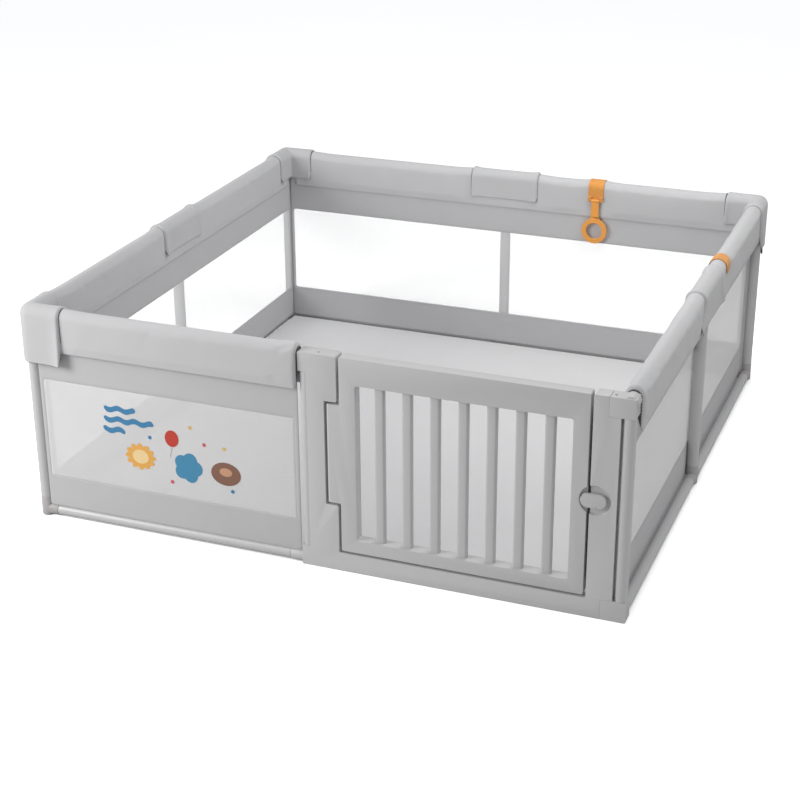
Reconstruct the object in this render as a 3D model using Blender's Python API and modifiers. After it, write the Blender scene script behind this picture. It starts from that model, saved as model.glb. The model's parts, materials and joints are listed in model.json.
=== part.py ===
"""Square baby playpen with padded top rails, mesh walls, a floor mat and a moulded gate.

Frame: +X to the right along the gate side, +Y to the back, +Z up, metres. The origin is on the
floor under the middle of the footprint. The gate fills the right half of the front side.
"""
import math

import bmesh
import bpy
from mathutils import Matrix, Vector

# Driving dimensions, in metres.
FOOTPRINT = 1.80
POST_RADIUS = 0.018
TOP_TUBE_RADIUS = 0.0125
BOTTOM_TUBE_RADIUS = 0.016
TUBE_WALL = 0.0012
TOP_AXIS_Z = 0.634
BOTTOM_AXIS_Z = 0.020
GATE_PITCH = 0.900
GAP = 0.0003
TUBE_SEGMENTS = 16
HIDDEN_SEGMENTS = 12
CORNER_STEPS = 5
CUT_MARGIN = 0.010
SMOOTH_BELOW = math.radians(40.0)

# Connectors: arms with spigots that go into the tubes.
SPIGOT_CLEARANCE = 0.0004
SPIGOT_REACH = 0.030
SPIGOT_ROOT = 0.020
ARM_REACH = 0.042
TOP_ARM_RADIUS = 0.016
BOTTOM_ARM_RADIUS = 0.0175

# Where the posts stand: the outer faces of the posts are the footprint.
POST_LINE = FOOTPRINT / 2 - POST_RADIUS
MID_X = POST_LINE - GATE_PITCH

# Connectors leave these ends of the posts free.
POST_BOTTOM = 0.060
POST_TOP = 0.594
HUB_RADIUS = 0.0195
FOOT_RADIUS = 0.0185

# Blocks between the gate's right column and the corner post.
BLOCK_EDGE = 0.0025
DOME_RADIUS = 0.0175
DOME_INSET = 0.001
DOME_SEGMENTS = 24

# Padded rail sleeve: a foam roll over the top tube with a skirt on each side of it.
PAD_HALF_WIDTH = 0.027
PAD_TOP = 0.670
PAD_HEM = 0.540
PAD_SKIRT = 0.005
PAD_CAVITY_TOP = 0.656
PAD_END = 0.840
ARCH_STEPS = 10

# Fabric pieces that wrap the padded rail.
CAP_REACH = 0.770
CAP_THICKNESS = 0.0033
CAP_OUTER_HEM = 0.500
CAP_INNER_HEM = 0.569
COVER_HALF_LENGTH = 0.125
COVER_THICKNESS = 0.0015
COVER_INNER_HEM = 0.573
COVER_OUTER_HEM = 0.548

# Fabric walls and the floor mat.
WALL_INNER = 0.8603
WALL_THICKNESS = 0.0027
WALL_BOTTOM = 0.0225
WALL_TOP = 0.585
WALL_GATE_GAP = 0.0035
FRONT_WALL_OUT = 0.0098
FRONT_WALL_BOTTOM = 0.0375
MAT_BOTTOM = 0.001
MAT_TOP = 0.019
MAT_FRONT = -0.854
MAT_EDGE = 0.004

# Gate frame: two columns on a sill, with the sockets of the left post moulded on.
GATE_FRONT = -FOOTPRINT / 2
GATE_DEPTH = 0.045
GATE_BACK = GATE_FRONT + GATE_DEPTH
GATE_TOP = 0.650
GATE_LEFT = MID_X - 0.019
GATE_SOCKET_END = GATE_LEFT - 0.040
COLUMN_LEFT = MID_X + 0.0047
COLUMN_RIGHT = POST_LINE - POST_RADIUS - 0.0025
SILL_TOP = 0.057
LEFT_COLUMN_EDGE = 0.076
KNUCKLE_NOTCH_X = 0.0385
KNUCKLE_NOTCH_Z = (0.2035, 0.5165)
RIGHT_COLUMN_EDGE = 0.789
RIGHT_CONNECTOR_X = 0.8298
CHANNEL_RADIUS = 0.0186
FRAME_EDGE = 0.0022
STOP_LIP_DEPTH = 0.007
STOP_LIP_REACH = 0.006
STOP_LIP_ROOT = 0.004
STOP_LIP_Z = (0.100, 0.600)

# Door leaf, hung on a rod that runs through the knuckles.
DOOR_GAP = 0.008
DOOR_DEPTH = 0.036
DOOR_LEFT = LEFT_COLUMN_EDGE + DOOR_GAP
DOOR_RIGHT = RIGHT_COLUMN_EDGE - DOOR_GAP
DOOR_BOTTOM = SILL_TOP + DOOR_GAP
KNUCKLE_LEFT = 0.0445
KNUCKLE_ROUND = 0.008
HINGE_X = 0.060
HINGE_Y = GATE_FRONT + DOOR_DEPTH / 2
HINGE_ROD_RADIUS = 0.003
HINGE_HOLE_RADIUS = 0.0034
HINGE_ROD_Z = (0.140, 0.580)
WINDOW_X = (0.130, 0.738)
WINDOW_Z = (0.103, 0.573)
BAR_COUNT = 7
BAR_WIDTH = 0.029
BAR_RECESS = 0.012
BAR_DEPTH = 0.020
BAR_EDGE = 0.004
BAR_ROOT = 0.006

# Rotary latch across the gap between the door and the right column.
LATCH_X = 0.803
LATCH_Z = 0.350
LATCH_RECESS_RADIUS = 0.0425
LATCH_RECESS_DEPTH = 0.009
LATCH_HUB_RADIUS = 0.014
LATCH_SHAFT_RADIUS = 0.006
LATCH_BORE_RADIUS = 0.0064
LATCH_SHAFT_END = GATE_BACK - 0.002
LATCH_ROOT = 0.002
LEVER_BACK = GATE_FRONT + 0.0035
LEVER_FRONT = GATE_FRONT - 0.0055
LEVER_HALF_HEIGHT = 0.0195
LEVER_LEFT = 0.0190
LEVER_RIGHT = 0.0115
LEVER_EDGE = 0.002
LEVER_STEPS = 10
SCREW_HEAD_RADIUS = 0.008
SCREW_HEAD_BACK = GATE_BACK + 0.003
SCREW_SHANK_RADIUS = 0.0022
SCREW_REACH = 0.012
SCREW_HOLE_DEPTH = 0.0125

# Pull-up rings, hung from straps over the back and the right rail.
STRAP_BACK_X = 0.319
STRAP_RIGHT_Y = 0.215
STRAP_WIDTH = 0.054
STRAP_THICKNESS = 0.0020
STRAP_INNER_HEM = 0.612
STRAP_OUTER_HEM = 0.625
RING_PIVOT_Z = 0.604
RING_PIVOT_OFFSET = 0.0065
RING_OUTER_RADIUS = 0.045
RING_INNER_RADIUS = 0.029
RING_CENTRE_DROP = 0.110
RING_DEPTH = 0.008
RING_SEGMENTS = 28
TAB_WIDTH = 0.028
TAB_DEPTH = 0.004
TAB_ROOT = 0.008
BARREL_RADIUS = 0.0045
BARREL_BORE = 0.0024
PIN_RADIUS = 0.0019
PIN_ROOT = 0.004
LUG_CLEARANCE = 0.0006
LUG_INSET = 0.0004
LUG_FRONT = 0.0035
LUG_DROP = 0.004
LUG_ROOT = 0.006

# Colours, as linear red, green and blue.
LIGHT_GREY = (0.56, 0.56, 0.57)
MESH_WHITE = (0.80, 0.80, 0.80)
MAT_GREY = (0.55, 0.55, 0.56)
ORANGE = (0.80, 0.33, 0.06)
STEEL = (0.55, 0.55, 0.56)

X_AXIS = Vector((1, 0, 0))
Y_AXIS = Vector((0, 1, 0))
Z_AXIS = Vector((0, 0, 1))


def clear_scene():
    for item in list(bpy.data.objects):
        bpy.data.objects.remove(item)


def new_collection(name):
    collection = bpy.data.collections.new(name)
    bpy.context.scene.collection.children.link(collection)
    return collection


clear_scene()
PARTS = new_collection("playpen")
TOOLS = new_collection("tools")


def material(name, colour, roughness, metallic=0.0):
    surface = bpy.data.materials.new(name)
    surface.use_nodes = True
    shader = surface.node_tree.nodes["Principled BSDF"]
    shader.inputs["Base Color"].default_value = (*colour, 1.0)
    shader.inputs["Roughness"].default_value = roughness
    shader.inputs["Metallic"].default_value = metallic
    return surface


PLASTIC = material("moulded_plastic", LIGHT_GREY, 0.45)
PAINT = material("painted_tube", LIGHT_GREY, 0.40)
OXFORD = material("oxford_cloth", LIGHT_GREY, 0.80)
FOAM = material("padded_sleeve", LIGHT_GREY, 0.75)
MESH_CLOTH = material("mesh_cloth", MESH_WHITE, 0.85)
MAT_CLOTH = material("mat_cloth", MAT_GREY, 0.80)
RING_PLASTIC = material("ring_plastic", ORANGE, 0.40)
WEBBING = material("strap_webbing", ORANGE, 0.75)
METAL = material("bright_steel", STEEL, 0.30, 1.0)


def add_object(name, mesh, collection):
    item = bpy.data.objects.new(name, mesh)
    collection.objects.link(item)
    return item


def mesh_from(bm, name):
    mesh = bpy.data.meshes.new(name)
    bm.to_mesh(mesh)
    bm.free()
    return mesh


def box(name, low, high, collection=None):
    """A box between two opposite corners."""
    low, high = Vector(low), Vector(high)
    bm = bmesh.new()
    bmesh.ops.create_cube(bm, size=1.0)
    bmesh.ops.scale(bm, vec=high - low, verts=bm.verts)
    item = add_object(name, mesh_from(bm, name), collection or TOOLS)
    item.location = (low + high) / 2
    return item


def align_z(direction):
    return Z_AXIS.rotation_difference(direction).to_matrix().to_4x4()


def rod(name, start, end, radius, collection=None, segments=TUBE_SEGMENTS, capped=True):
    """A cylinder from start to end; without caps it is an open sleeve for Solidify."""
    start, end = Vector(start), Vector(end)
    bm = bmesh.new()
    bmesh.ops.create_cone(
        bm,
        cap_ends=capped,
        segments=segments,
        radius1=radius,
        radius2=radius,
        depth=(end - start).length,
    )
    item = add_object(name, mesh_from(bm, name), collection or TOOLS)
    item.matrix_world = Matrix.Translation((start + end) / 2) @ align_z(end - start)
    return item


def ball(name, centre, radius):
    bm = bmesh.new()
    bmesh.ops.create_uvsphere(
        bm, u_segments=HIDDEN_SEGMENTS, v_segments=HIDDEN_SEGMENTS // 2, radius=radius
    )
    item = add_object(name, mesh_from(bm, name), TOOLS)
    item.location = centre
    return item


def evaluated_mesh(item):
    bpy.context.view_layer.update()
    graph = bpy.context.evaluated_depsgraph_get()
    return bpy.data.meshes.new_from_object(item.evaluated_get(graph))


def plate(name, outlines, depth, matrix, collection=None):
    """A flat outline, holes included, given its depth along its own Z and put in place."""
    curve = bpy.data.curves.new(name, "CURVE")
    curve.dimensions = "2D"
    curve.fill_mode = "BOTH"
    curve.extrude = depth / 2
    for outline in outlines:
        spline = curve.splines.new("POLY")
        spline.points.add(len(outline) - 1)
        for point, (u, v) in zip(spline.points, outline):
            point.co = (u, v, 0.0, 1.0)
        spline.use_cyclic_u = True
    flat = add_object(name + "_outline", curve, TOOLS)
    flat.matrix_world = matrix
    mesh = evaluated_mesh(flat)
    mesh.name = name
    bpy.data.objects.remove(flat)
    bm = bmesh.new()
    bm.from_mesh(mesh)
    bmesh.ops.remove_doubles(bm, verts=bm.verts, dist=0.00001)
    bmesh.ops.recalc_face_normals(bm, faces=bm.faces)
    bm.to_mesh(mesh)
    bm.free()
    item = add_object(name, mesh, collection or TOOLS)
    item.matrix_world = matrix
    return item


def frame_at(origin, u_axis, v_axis):
    """The matrix that puts an outline's u and v along two world directions."""
    matrix = Matrix((u_axis, v_axis, u_axis.cross(v_axis))).transposed().to_4x4()
    return Matrix.Translation(origin) @ matrix


def bake(item):
    """Put the result of an object's modifiers in place of its mesh."""
    mesh = evaluated_mesh(item)
    item.modifiers.clear()
    item.data = mesh
    return item


def combine(item, tools, operation):
    """Join or cut with the tool objects, which are used up."""
    for tool in tools:
        step = item.modifiers.new(tool.name, "BOOLEAN")
        step.operation = operation
        step.object = tool
        step.solver = "EXACT"
    bake(item)
    for tool in tools:
        bpy.data.objects.remove(tool)
    return item


def round_edges(item, width, segments=1, angle=50.0):
    edge = item.modifiers.new("edges", "BEVEL")
    edge.width = width
    edge.segments = segments
    edge.limit_method = "ANGLE"
    edge.angle_limit = math.radians(angle)
    edge.use_clamp_overlap = True
    return bake(item)


def finish(item, surface):
    """Give a finished piece its material and file it with the parts."""
    item.data.name = item.name
    item.data.materials.clear()
    item.data.materials.append(surface)
    item.data.shade_smooth()
    item.data.set_sharp_from_angle(angle=SMOOTH_BELOW)
    if item.name in TOOLS.objects:
        TOOLS.objects.unlink(item)
        PARTS.objects.link(item)
    return item


# Tubes -----------------------------------------------------------------------------------------

def make_tube(name, start, end, radius):
    """A thin-walled tube, open at both ends."""
    tube = rod(name, start, end, radius, PARTS, capped=False)
    wall = tube.modifiers.new("wall", "SOLIDIFY")
    wall.thickness = TUBE_WALL
    wall.offset = -1.0
    return finish(tube, PAINT)


POSTS = {
    "post_front_left": (-POST_LINE, -POST_LINE),
    "post_left_mid": (-POST_LINE, 0.0),
    "post_back_left": (-POST_LINE, POST_LINE),
    "post_back_mid": (MID_X, POST_LINE),
    "post_back_right": (POST_LINE, POST_LINE),
    "post_right_mid": (POST_LINE, 0.0),
    "post_front_right": (POST_LINE, -POST_LINE),
    "post_gate_left": (MID_X, -POST_LINE),
}


def make_posts():
    for name, (x, y) in POSTS.items():
        make_tube(name, (x, y, POST_BOTTOM + GAP), (x, y, POST_TOP - GAP), POST_RADIUS)


# Each rail run is (side, axis it lies along, constant coordinate, start, end).
ARM_END = POST_LINE - ARM_REACH
RAIL_RUNS = {
    "front": ("x", -POST_LINE, -ARM_END, GATE_LEFT),
    "left_front": ("y", -POST_LINE, -ARM_END, -ARM_REACH),
    "left_back": ("y", -POST_LINE, ARM_REACH, ARM_END),
    "back_left": ("x", POST_LINE, -ARM_END, MID_X - ARM_REACH),
    "back_right": ("x", POST_LINE, MID_X + ARM_REACH, ARM_END),
    "right_back": ("y", POST_LINE, ARM_REACH, ARM_END),
    "right_front": ("y", POST_LINE, GATE_BACK, -ARM_REACH),
}


def rail_point(axis, line, along, z):
    return (along, line, z) if axis == "x" else (line, along, z)


def make_rails():
    """Top and bottom tubes of every run; the front bottom tube stops at the gate's socket."""
    for run, (axis, line, start, end) in RAIL_RUNS.items():
        low_end = GATE_SOCKET_END if run == "front" else end
        for level, z, radius, last in (
            ("top", TOP_AXIS_Z, TOP_TUBE_RADIUS, end),
            ("bottom", BOTTOM_AXIS_Z, BOTTOM_TUBE_RADIUS, low_end),
        ):
            make_tube(
                f"{level}_rail_{run}",
                rail_point(axis, line, start + GAP, z),
                rail_point(axis, line, last - GAP, z),
                radius,
            )


# Connectors ------------------------------------------------------------------------------------

def spigot(name, face, direction, tube_radius):
    """A plug for a tube's end, rooted in the body behind the face it leaves."""
    radius = tube_radius - TUBE_WALL - SPIGOT_CLEARANCE
    root, tip = face - direction * SPIGOT_ROOT, face + direction * SPIGOT_REACH
    return rod(name + "_spigot", root, tip, radius, segments=HIDDEN_SEGMENTS)


def arms(name, centre, directions, reach, radius, tube_radius, segments):
    """A connector's arms with their spigots; two opposite arms are one straight rod."""
    ends = [centre + direction * reach for direction in directions]
    spans = [(centre, end) for end in ends]
    if directions[0] == -directions[-1]:
        spans = [ends]
    pieces = [rod(name, start, end, radius, segments=segments) for start, end in spans]
    return pieces + [spigot(name, *plug, tube_radius) for plug in zip(ends, directions)]


def make_top_connector(name, x, y, directions):
    """A hidden hub that holds the post and the top tubes that meet over it."""
    centre = Vector((x, y, TOP_AXIS_Z))
    hub = ball(name, centre, HUB_RADIUS)
    down = TOP_AXIS_Z - POST_TOP
    pieces = arms(name, centre, [-Z_AXIS], down, POST_RADIUS, POST_RADIUS, TUBE_SEGMENTS)
    pieces += arms(
        name, centre, directions, ARM_REACH, TOP_ARM_RADIUS, TOP_TUBE_RADIUS, HIDDEN_SEGMENTS
    )
    finish(combine(hub, pieces, "UNION"), PLASTIC)


def make_bottom_connector(name, x, y, directions):
    """A foot that stands flat on the floor and holds the post and the bottom tubes."""
    centre = Vector((x, y, BOTTOM_AXIS_Z))
    top = Vector((x, y, POST_BOTTOM))
    foot = rod(name, (x, y, 0.0), top, FOOT_RADIUS)
    pieces = [spigot(name, top, Z_AXIS, POST_RADIUS)]
    pieces += arms(
        name, centre, directions, ARM_REACH, BOTTOM_ARM_RADIUS, BOTTOM_TUBE_RADIUS, TUBE_SEGMENTS
    )
    finish(combine(foot, pieces, "UNION"), PLASTIC)


JUNCTIONS = {
    "front_left": (-POST_LINE, -POST_LINE, (X_AXIS, Y_AXIS)),
    "left_mid": (-POST_LINE, 0.0, (-Y_AXIS, Y_AXIS)),
    "back_left": (-POST_LINE, POST_LINE, (X_AXIS, -Y_AXIS)),
    "back_mid": (MID_X, POST_LINE, (-X_AXIS, X_AXIS)),
    "back_right": (POST_LINE, POST_LINE, (-X_AXIS, -Y_AXIS)),
    "right_mid": (POST_LINE, 0.0, (-Y_AXIS, Y_AXIS)),
}


def gate_end_block(name, z_low, z_high, rail_z, rail_radius, post_end, to_post):
    """The block that ties the gate's right column to the corner post and a side tube."""
    low = (RIGHT_CONNECTOR_X, GATE_FRONT, z_low)
    block = box(name, low, (FOOTPRINT / 2, GATE_BACK, z_high))
    round_edges(block, BLOCK_EDGE)
    post = Vector((POST_LINE, -POST_LINE, post_end))
    rail = Vector((POST_LINE, GATE_BACK, rail_z))
    plugs = [spigot(name, post, to_post, POST_RADIUS), spigot(name, rail, Y_AXIS, rail_radius)]
    return combine(block, plugs, "UNION")


def make_connectors():
    for place, (x, y, directions) in JUNCTIONS.items():
        make_top_connector(f"top_connector_{place}", x, y, directions)
        make_bottom_connector(f"bottom_connector_{place}", x, y, directions)
    low = gate_end_block(
        "bottom_connector_front_right",
        0.0, POST_BOTTOM, BOTTOM_AXIS_Z, BOTTOM_TUBE_RADIUS, POST_BOTTOM, Z_AXIS,
    )
    finish(low, PLASTIC)
    high = gate_end_block(
        "top_connector_front_right",
        POST_TOP, GATE_TOP, TOP_AXIS_Z, TOP_TUBE_RADIUS, POST_TOP, -Z_AXIS,
    )
    dome_front = Vector((POST_LINE, GATE_FRONT + DOME_INSET, TOP_AXIS_Z))
    dome_back = Vector((POST_LINE, GATE_BACK - DOME_INSET, TOP_AXIS_Z))
    dome = rod("dome", dome_front, dome_back, DOME_RADIUS, segments=DOME_SEGMENTS)
    finish(combine(high, [dome], "UNION"), PLASTIC)


# Padded rails and the fabric that wraps them ---------------------------------------------------

def arch(half_width, top):
    """The round top of a rail section, from its right side over to its left."""
    centre = top - half_width
    turn = [math.pi * step / ARCH_STEPS for step in range(ARCH_STEPS + 1)]
    return [(half_width * math.cos(a), centre + half_width * math.sin(a)) for a in turn]


def sleeve_section(outer_half, outer_top, thickness, right_hem, left_hem, inner_top=None):
    """An upside-down U; u is across the rail, v is the height."""
    inner_half = outer_half - thickness
    inner = arch(inner_half, outer_top - thickness if inner_top is None else inner_top)
    outline = [(outer_half, right_hem)] + arch(outer_half, outer_top) + [(-outer_half, left_hem)]
    outline += [(-inner_half, left_hem)] + inner[::-1] + [(inner_half, right_hem)]
    return outline


def along_rail(name, section, axis, line, start, end, outward):
    """Sweep a rail section from start to end; outward is the side that u points to."""
    middle = rail_point(axis, line, (start + end) / 2, 0.0)
    across = (Y_AXIS if axis == "x" else X_AXIS) * outward
    return plate(name, [section], end - start, frame_at(Vector(middle), across, Z_AXIS))


def make_pads():
    section = sleeve_section(PAD_HALF_WIDTH, PAD_TOP, PAD_SKIRT, PAD_HEM, PAD_HEM, PAD_CAVITY_TOP)
    for side, axis, line, start, end in (
        ("front", "x", -POST_LINE, -PAD_END, GATE_LEFT - GAP),
        ("left", "y", -POST_LINE, -PAD_END, PAD_END),
        ("back", "x", POST_LINE, -PAD_END, PAD_END),
        ("right", "y", POST_LINE, GATE_BACK + GAP, PAD_END),
    ):
        pad = along_rail(f"rail_pad_{side}", section, axis, line, start, end, 1)
        finish(pad, FOAM)


def make_joint_covers():
    """Cloth flaps over the joints in the middle of three rails."""
    half = PAD_HALF_WIDTH + GAP + COVER_THICKNESS
    top = PAD_TOP + GAP + COVER_THICKNESS
    section = sleeve_section(half, top, COVER_THICKNESS, COVER_OUTER_HEM, COVER_INNER_HEM)
    for side, axis, line, middle in (
        ("left", "y", -POST_LINE, 0.0),
        ("back", "x", POST_LINE, MID_X),
        ("right", "y", POST_LINE, 0.0),
    ):
        start, end = middle - COVER_HALF_LENGTH, middle + COVER_HALF_LENGTH
        outward = math.copysign(1, line)
        cover = along_rail(f"joint_cover_{side}", section, axis, line, start, end, outward)
        finish(cover, OXFORD)


def add_line(bm, points):
    verts = [bm.verts.new(point) for point in points]
    return [bm.edges.new(pair) for pair in zip(verts, verts[1:])]


def add_strip(bm, start, end):
    bmesh.ops.bridge_loops(bm, edges=add_line(bm, start) + add_line(bm, end))


def make_corner_cap(name, x_side, y_side):
    """A soft L-shaped cap over two pads: round over the post, its outer faces the longer ones.

    The cloth is laid out around the post, with both legs towards minus, and then turned to its
    own corner: d is the distance outward from the middle of a rail.
    """
    half = PAD_HALF_WIDTH + GAP + CAP_THICKNESS
    over = arch(half, PAD_TOP + GAP + CAP_THICKNESS)
    ridge = ARCH_STEPS // 2
    outer = [(half, CAP_OUTER_HEM)] + over[:ridge + 1]
    inner = over[ridge:] + [(-half, CAP_INNER_HEM)]
    free_end = CAP_REACH - POST_LINE
    bm = bmesh.new()
    for line, mitre in ((outer, 0.0), (inner, 1.0)):
        add_strip(bm, [(free_end, d, z) for d, z in line], [(mitre * d, d, z) for d, z in line])
        add_strip(bm, [(d, free_end, z) for d, z in line], [(d, mitre * d, z) for d, z in line])
    corner = add_line(bm, [(0.0, d, z) for d, z in outer])
    bmesh.ops.spin(
        bm, geom=corner, cent=(0, 0, 0), axis=Z_AXIS, angle=-math.pi / 2, steps=CORNER_STEPS
    )
    bmesh.ops.remove_doubles(bm, verts=bm.verts, dist=0.00001)
    bmesh.ops.scale(bm, vec=(x_side, y_side, 1.0), verts=bm.verts)
    bmesh.ops.recalc_face_normals(bm, faces=bm.faces)
    highest = max(bm.faces, key=lambda face: face.calc_center_median().z)
    if highest.normal.z < 0:
        bmesh.ops.reverse_faces(bm, faces=bm.faces)
    cap = add_object(name, mesh_from(bm, name), TOOLS)
    cap.location = (x_side * POST_LINE, y_side * POST_LINE, 0.0)
    cloth = cap.modifiers.new("cloth", "SOLIDIFY")
    cloth.thickness = CAP_THICKNESS
    cloth.offset = -1.0
    cloth.use_even_offset = True
    finish(cap, OXFORD)


def make_corner_caps():
    make_corner_cap("corner_cap_front_left", -1, -1)
    make_corner_cap("corner_cap_back_left", -1, 1)
    make_corner_cap("corner_cap_back_right", 1, 1)


# Walls and floor -------------------------------------------------------------------------------

def make_walls():
    """Three walls pass inside their middle post; the front one hangs between its two posts."""
    outer = WALL_INNER + WALL_THICKNESS
    side = WALL_INNER - GAP
    post_side = POST_LINE - POST_RADIUS - GAP
    front = POST_LINE + FRONT_WALL_OUT
    spans = {
        "wall_front": ((-post_side, -front - WALL_THICKNESS), (GATE_LEFT - WALL_GATE_GAP, -front)),
        "wall_left": ((-outer, -side), (-WALL_INNER, side)),
        "wall_back": ((-side, WALL_INNER), (side, outer)),
        "wall_right": ((WALL_INNER, GATE_BACK + GAP), (outer, side)),
    }
    for name, (low, high) in spans.items():
        bottom = FRONT_WALL_BOTTOM if name == "wall_front" else WALL_BOTTOM
        wall = box(name, (*low, bottom), (*high, WALL_TOP), PARTS)
        finish(wall, MESH_CLOTH)


def make_mat():
    side = WALL_INNER - GAP
    mat = box("floor_mat", (-side, MAT_FRONT, MAT_BOTTOM), (side, side, MAT_TOP), PARTS)
    finish(round_edges(mat, MAT_EDGE, 2), MAT_CLOTH)


# Gate ------------------------------------------------------------------------------------------

FRONT_VIEW = frame_at(Vector((0, 0, 0)), X_AXIS, Z_AXIS)


def front_plate(name, outlines, y_front, y_back):
    """An outline seen from the front, filling the depth between two Y values."""
    place = Matrix.Translation(Y_AXIS * (y_front + y_back) / 2) @ FRONT_VIEW
    return plate(name, outlines, y_back - y_front, place)


def latch_axis(y):
    return Vector((LATCH_X, y, LATCH_Z))


def latch_recess(name):
    start, end = latch_axis(GATE_FRONT - CUT_MARGIN), latch_axis(GATE_FRONT + LATCH_RECESS_DEPTH)
    return rod(name, start, end, LATCH_RECESS_RADIUS, segments=2 * TUBE_SEGMENTS)


def hinge_bore(name):
    low, high = HINGE_ROD_Z
    start, end = (HINGE_X, HINGE_Y, low - GAP), (HINGE_X, HINGE_Y, high + GAP)
    return rod(name, start, end, HINGE_HOLE_RADIUS, segments=HIDDEN_SEGMENTS)


def gate_outline():
    notch_low, notch_high = KNUCKLE_NOTCH_Z
    connector = RIGHT_CONNECTOR_X - GAP
    left_column = [
        (LEFT_COLUMN_EDGE, SILL_TOP), (LEFT_COLUMN_EDGE, notch_low),
        (KNUCKLE_NOTCH_X, notch_low), (KNUCKLE_NOTCH_X, notch_high),
        (LEFT_COLUMN_EDGE, notch_high), (LEFT_COLUMN_EDGE, GATE_TOP),
        (GATE_LEFT, GATE_TOP), (GATE_LEFT, POST_TOP), (COLUMN_LEFT, POST_TOP),
        (COLUMN_LEFT, POST_BOTTOM), (GATE_LEFT, POST_BOTTOM), (GATE_LEFT, 0.0),
    ]
    right_column = [
        (connector, 0.0), (connector, POST_BOTTOM + GAP), (COLUMN_RIGHT, POST_BOTTOM + GAP),
        (COLUMN_RIGHT, POST_TOP - GAP), (connector, POST_TOP - GAP), (connector, GATE_TOP),
        (RIGHT_COLUMN_EDGE, GATE_TOP), (RIGHT_COLUMN_EDGE, SILL_TOP),
    ]
    return right_column + left_column


def make_gate_frame():
    """Both columns and the sill in one moulding, with the left post's sockets."""
    frame = front_plate("gate_frame", [gate_outline()], GATE_FRONT, GATE_BACK)
    round_edges(frame, FRAME_EDGE, 2, 60.0)
    foot = Vector((MID_X, -POST_LINE, POST_BOTTOM))
    head = Vector((MID_X, -POST_LINE, POST_TOP))
    channel = rod("channel", foot, head, CHANNEL_RADIUS)
    shaft = rod("shaft", latch_axis(GATE_FRONT), latch_axis(GATE_BACK + CUT_MARGIN),
                LATCH_BORE_RADIUS, segments=HIDDEN_SEGMENTS)
    combine(frame, [channel, latch_recess("recess"), hinge_bore("bore"), shaft], "DIFFERENCE")

    low_root = Vector((GATE_LEFT + SPIGOT_ROOT, -POST_LINE, BOTTOM_AXIS_Z))
    top_face = Vector((GATE_LEFT, -POST_LINE, TOP_AXIS_Z))
    lip_low, lip_high = STOP_LIP_Z
    socket_reach = low_root.x - GATE_SOCKET_END
    additions = arms("socket", low_root, [-X_AXIS], socket_reach, BOTTOM_ARM_RADIUS,
                     BOTTOM_TUBE_RADIUS, TUBE_SEGMENTS)
    additions += [
        spigot("top", top_face, -X_AXIS, TOP_TUBE_RADIUS),
        spigot("foot", foot, Z_AXIS, POST_RADIUS),
        spigot("head", head, -Z_AXIS, POST_RADIUS),
        box("stop_lip", (DOOR_RIGHT - STOP_LIP_REACH, GATE_BACK - STOP_LIP_DEPTH, lip_low),
            (RIGHT_COLUMN_EDGE + STOP_LIP_ROOT, GATE_BACK - DOME_INSET, lip_high)),
    ]
    finish(combine(frame, additions, "UNION"), PLASTIC)


def door_outlines():
    """The leaf with the knuckle on its left edge, and its window."""
    notch_low, notch_high = KNUCKLE_NOTCH_Z
    low, high = notch_low + DOOR_GAP, notch_high - DOOR_GAP
    leaf = [
        (DOOR_LEFT, DOOR_BOTTOM), (DOOR_RIGHT, DOOR_BOTTOM), (DOOR_RIGHT, GATE_TOP),
        (DOOR_LEFT, GATE_TOP), (DOOR_LEFT, high), (KNUCKLE_LEFT, high), (KNUCKLE_LEFT, low),
        (DOOR_LEFT, low),
    ]
    (left, right), (bottom, top) = WINDOW_X, WINDOW_Z
    window = [(left, bottom), (left, top), (right, top), (right, bottom)]
    return [leaf, window]


def door_bars():
    """The upright bars of the window, set back from the front and rooted in both rails."""
    (left, right), (bottom, top) = WINDOW_X, WINDOW_Z
    slot = (right - left - BAR_COUNT * BAR_WIDTH) / (BAR_COUNT + 1)
    front = GATE_FRONT + BAR_RECESS
    bars = []
    for index in range(BAR_COUNT):
        start = left + slot + index * (slot + BAR_WIDTH)
        low = (start, front, bottom - BAR_ROOT)
        high = (start + BAR_WIDTH, front + BAR_DEPTH, top + BAR_ROOT)
        bars.append(round_edges(box("bar", low, high), BAR_EDGE))
    return bars


def knuckle_corner(y_edge, toward):
    """Cuts one long corner of the door's knuckle to a round that clears the column."""
    low, high = (Z_AXIS * z for z in KNUCKLE_NOTCH_Z)
    beyond = Z_AXIS * CUT_MARGIN
    centre = Vector((KNUCKLE_LEFT + KNUCKLE_ROUND, y_edge + toward * KNUCKLE_ROUND, 0.0))
    y_low, y_high = sorted((y_edge - toward * CUT_MARGIN, centre.y))
    block = box("corner", (KNUCKLE_LEFT - CUT_MARGIN, y_low, low.z), (centre.x, y_high, high.z))
    keep = rod("round", centre + low - beyond, centre + high + beyond, KNUCKLE_ROUND)
    return combine(block, [keep], "DIFFERENCE")


def make_door():
    door_back = GATE_FRONT + DOOR_DEPTH
    door = front_plate("gate_door", door_outlines(), GATE_FRONT, door_back)
    cuts = [
        latch_recess("door_recess"),
        hinge_bore("door_bore"),
        knuckle_corner(GATE_FRONT, 1),
        knuckle_corner(door_back, -1),
    ]
    combine(door, cuts, "DIFFERENCE")
    finish(combine(door, door_bars(), "UNION"), PLASTIC)


def make_hinge_rod():
    low, high = HINGE_ROD_Z
    start, end = (HINGE_X, HINGE_Y, low), (HINGE_X, HINGE_Y, high)
    pin = rod("hinge_rod", start, end, HINGE_ROD_RADIUS, PARTS, HIDDEN_SEGMENTS)
    finish(pin, METAL)


# Latch -----------------------------------------------------------------------------------------

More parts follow.
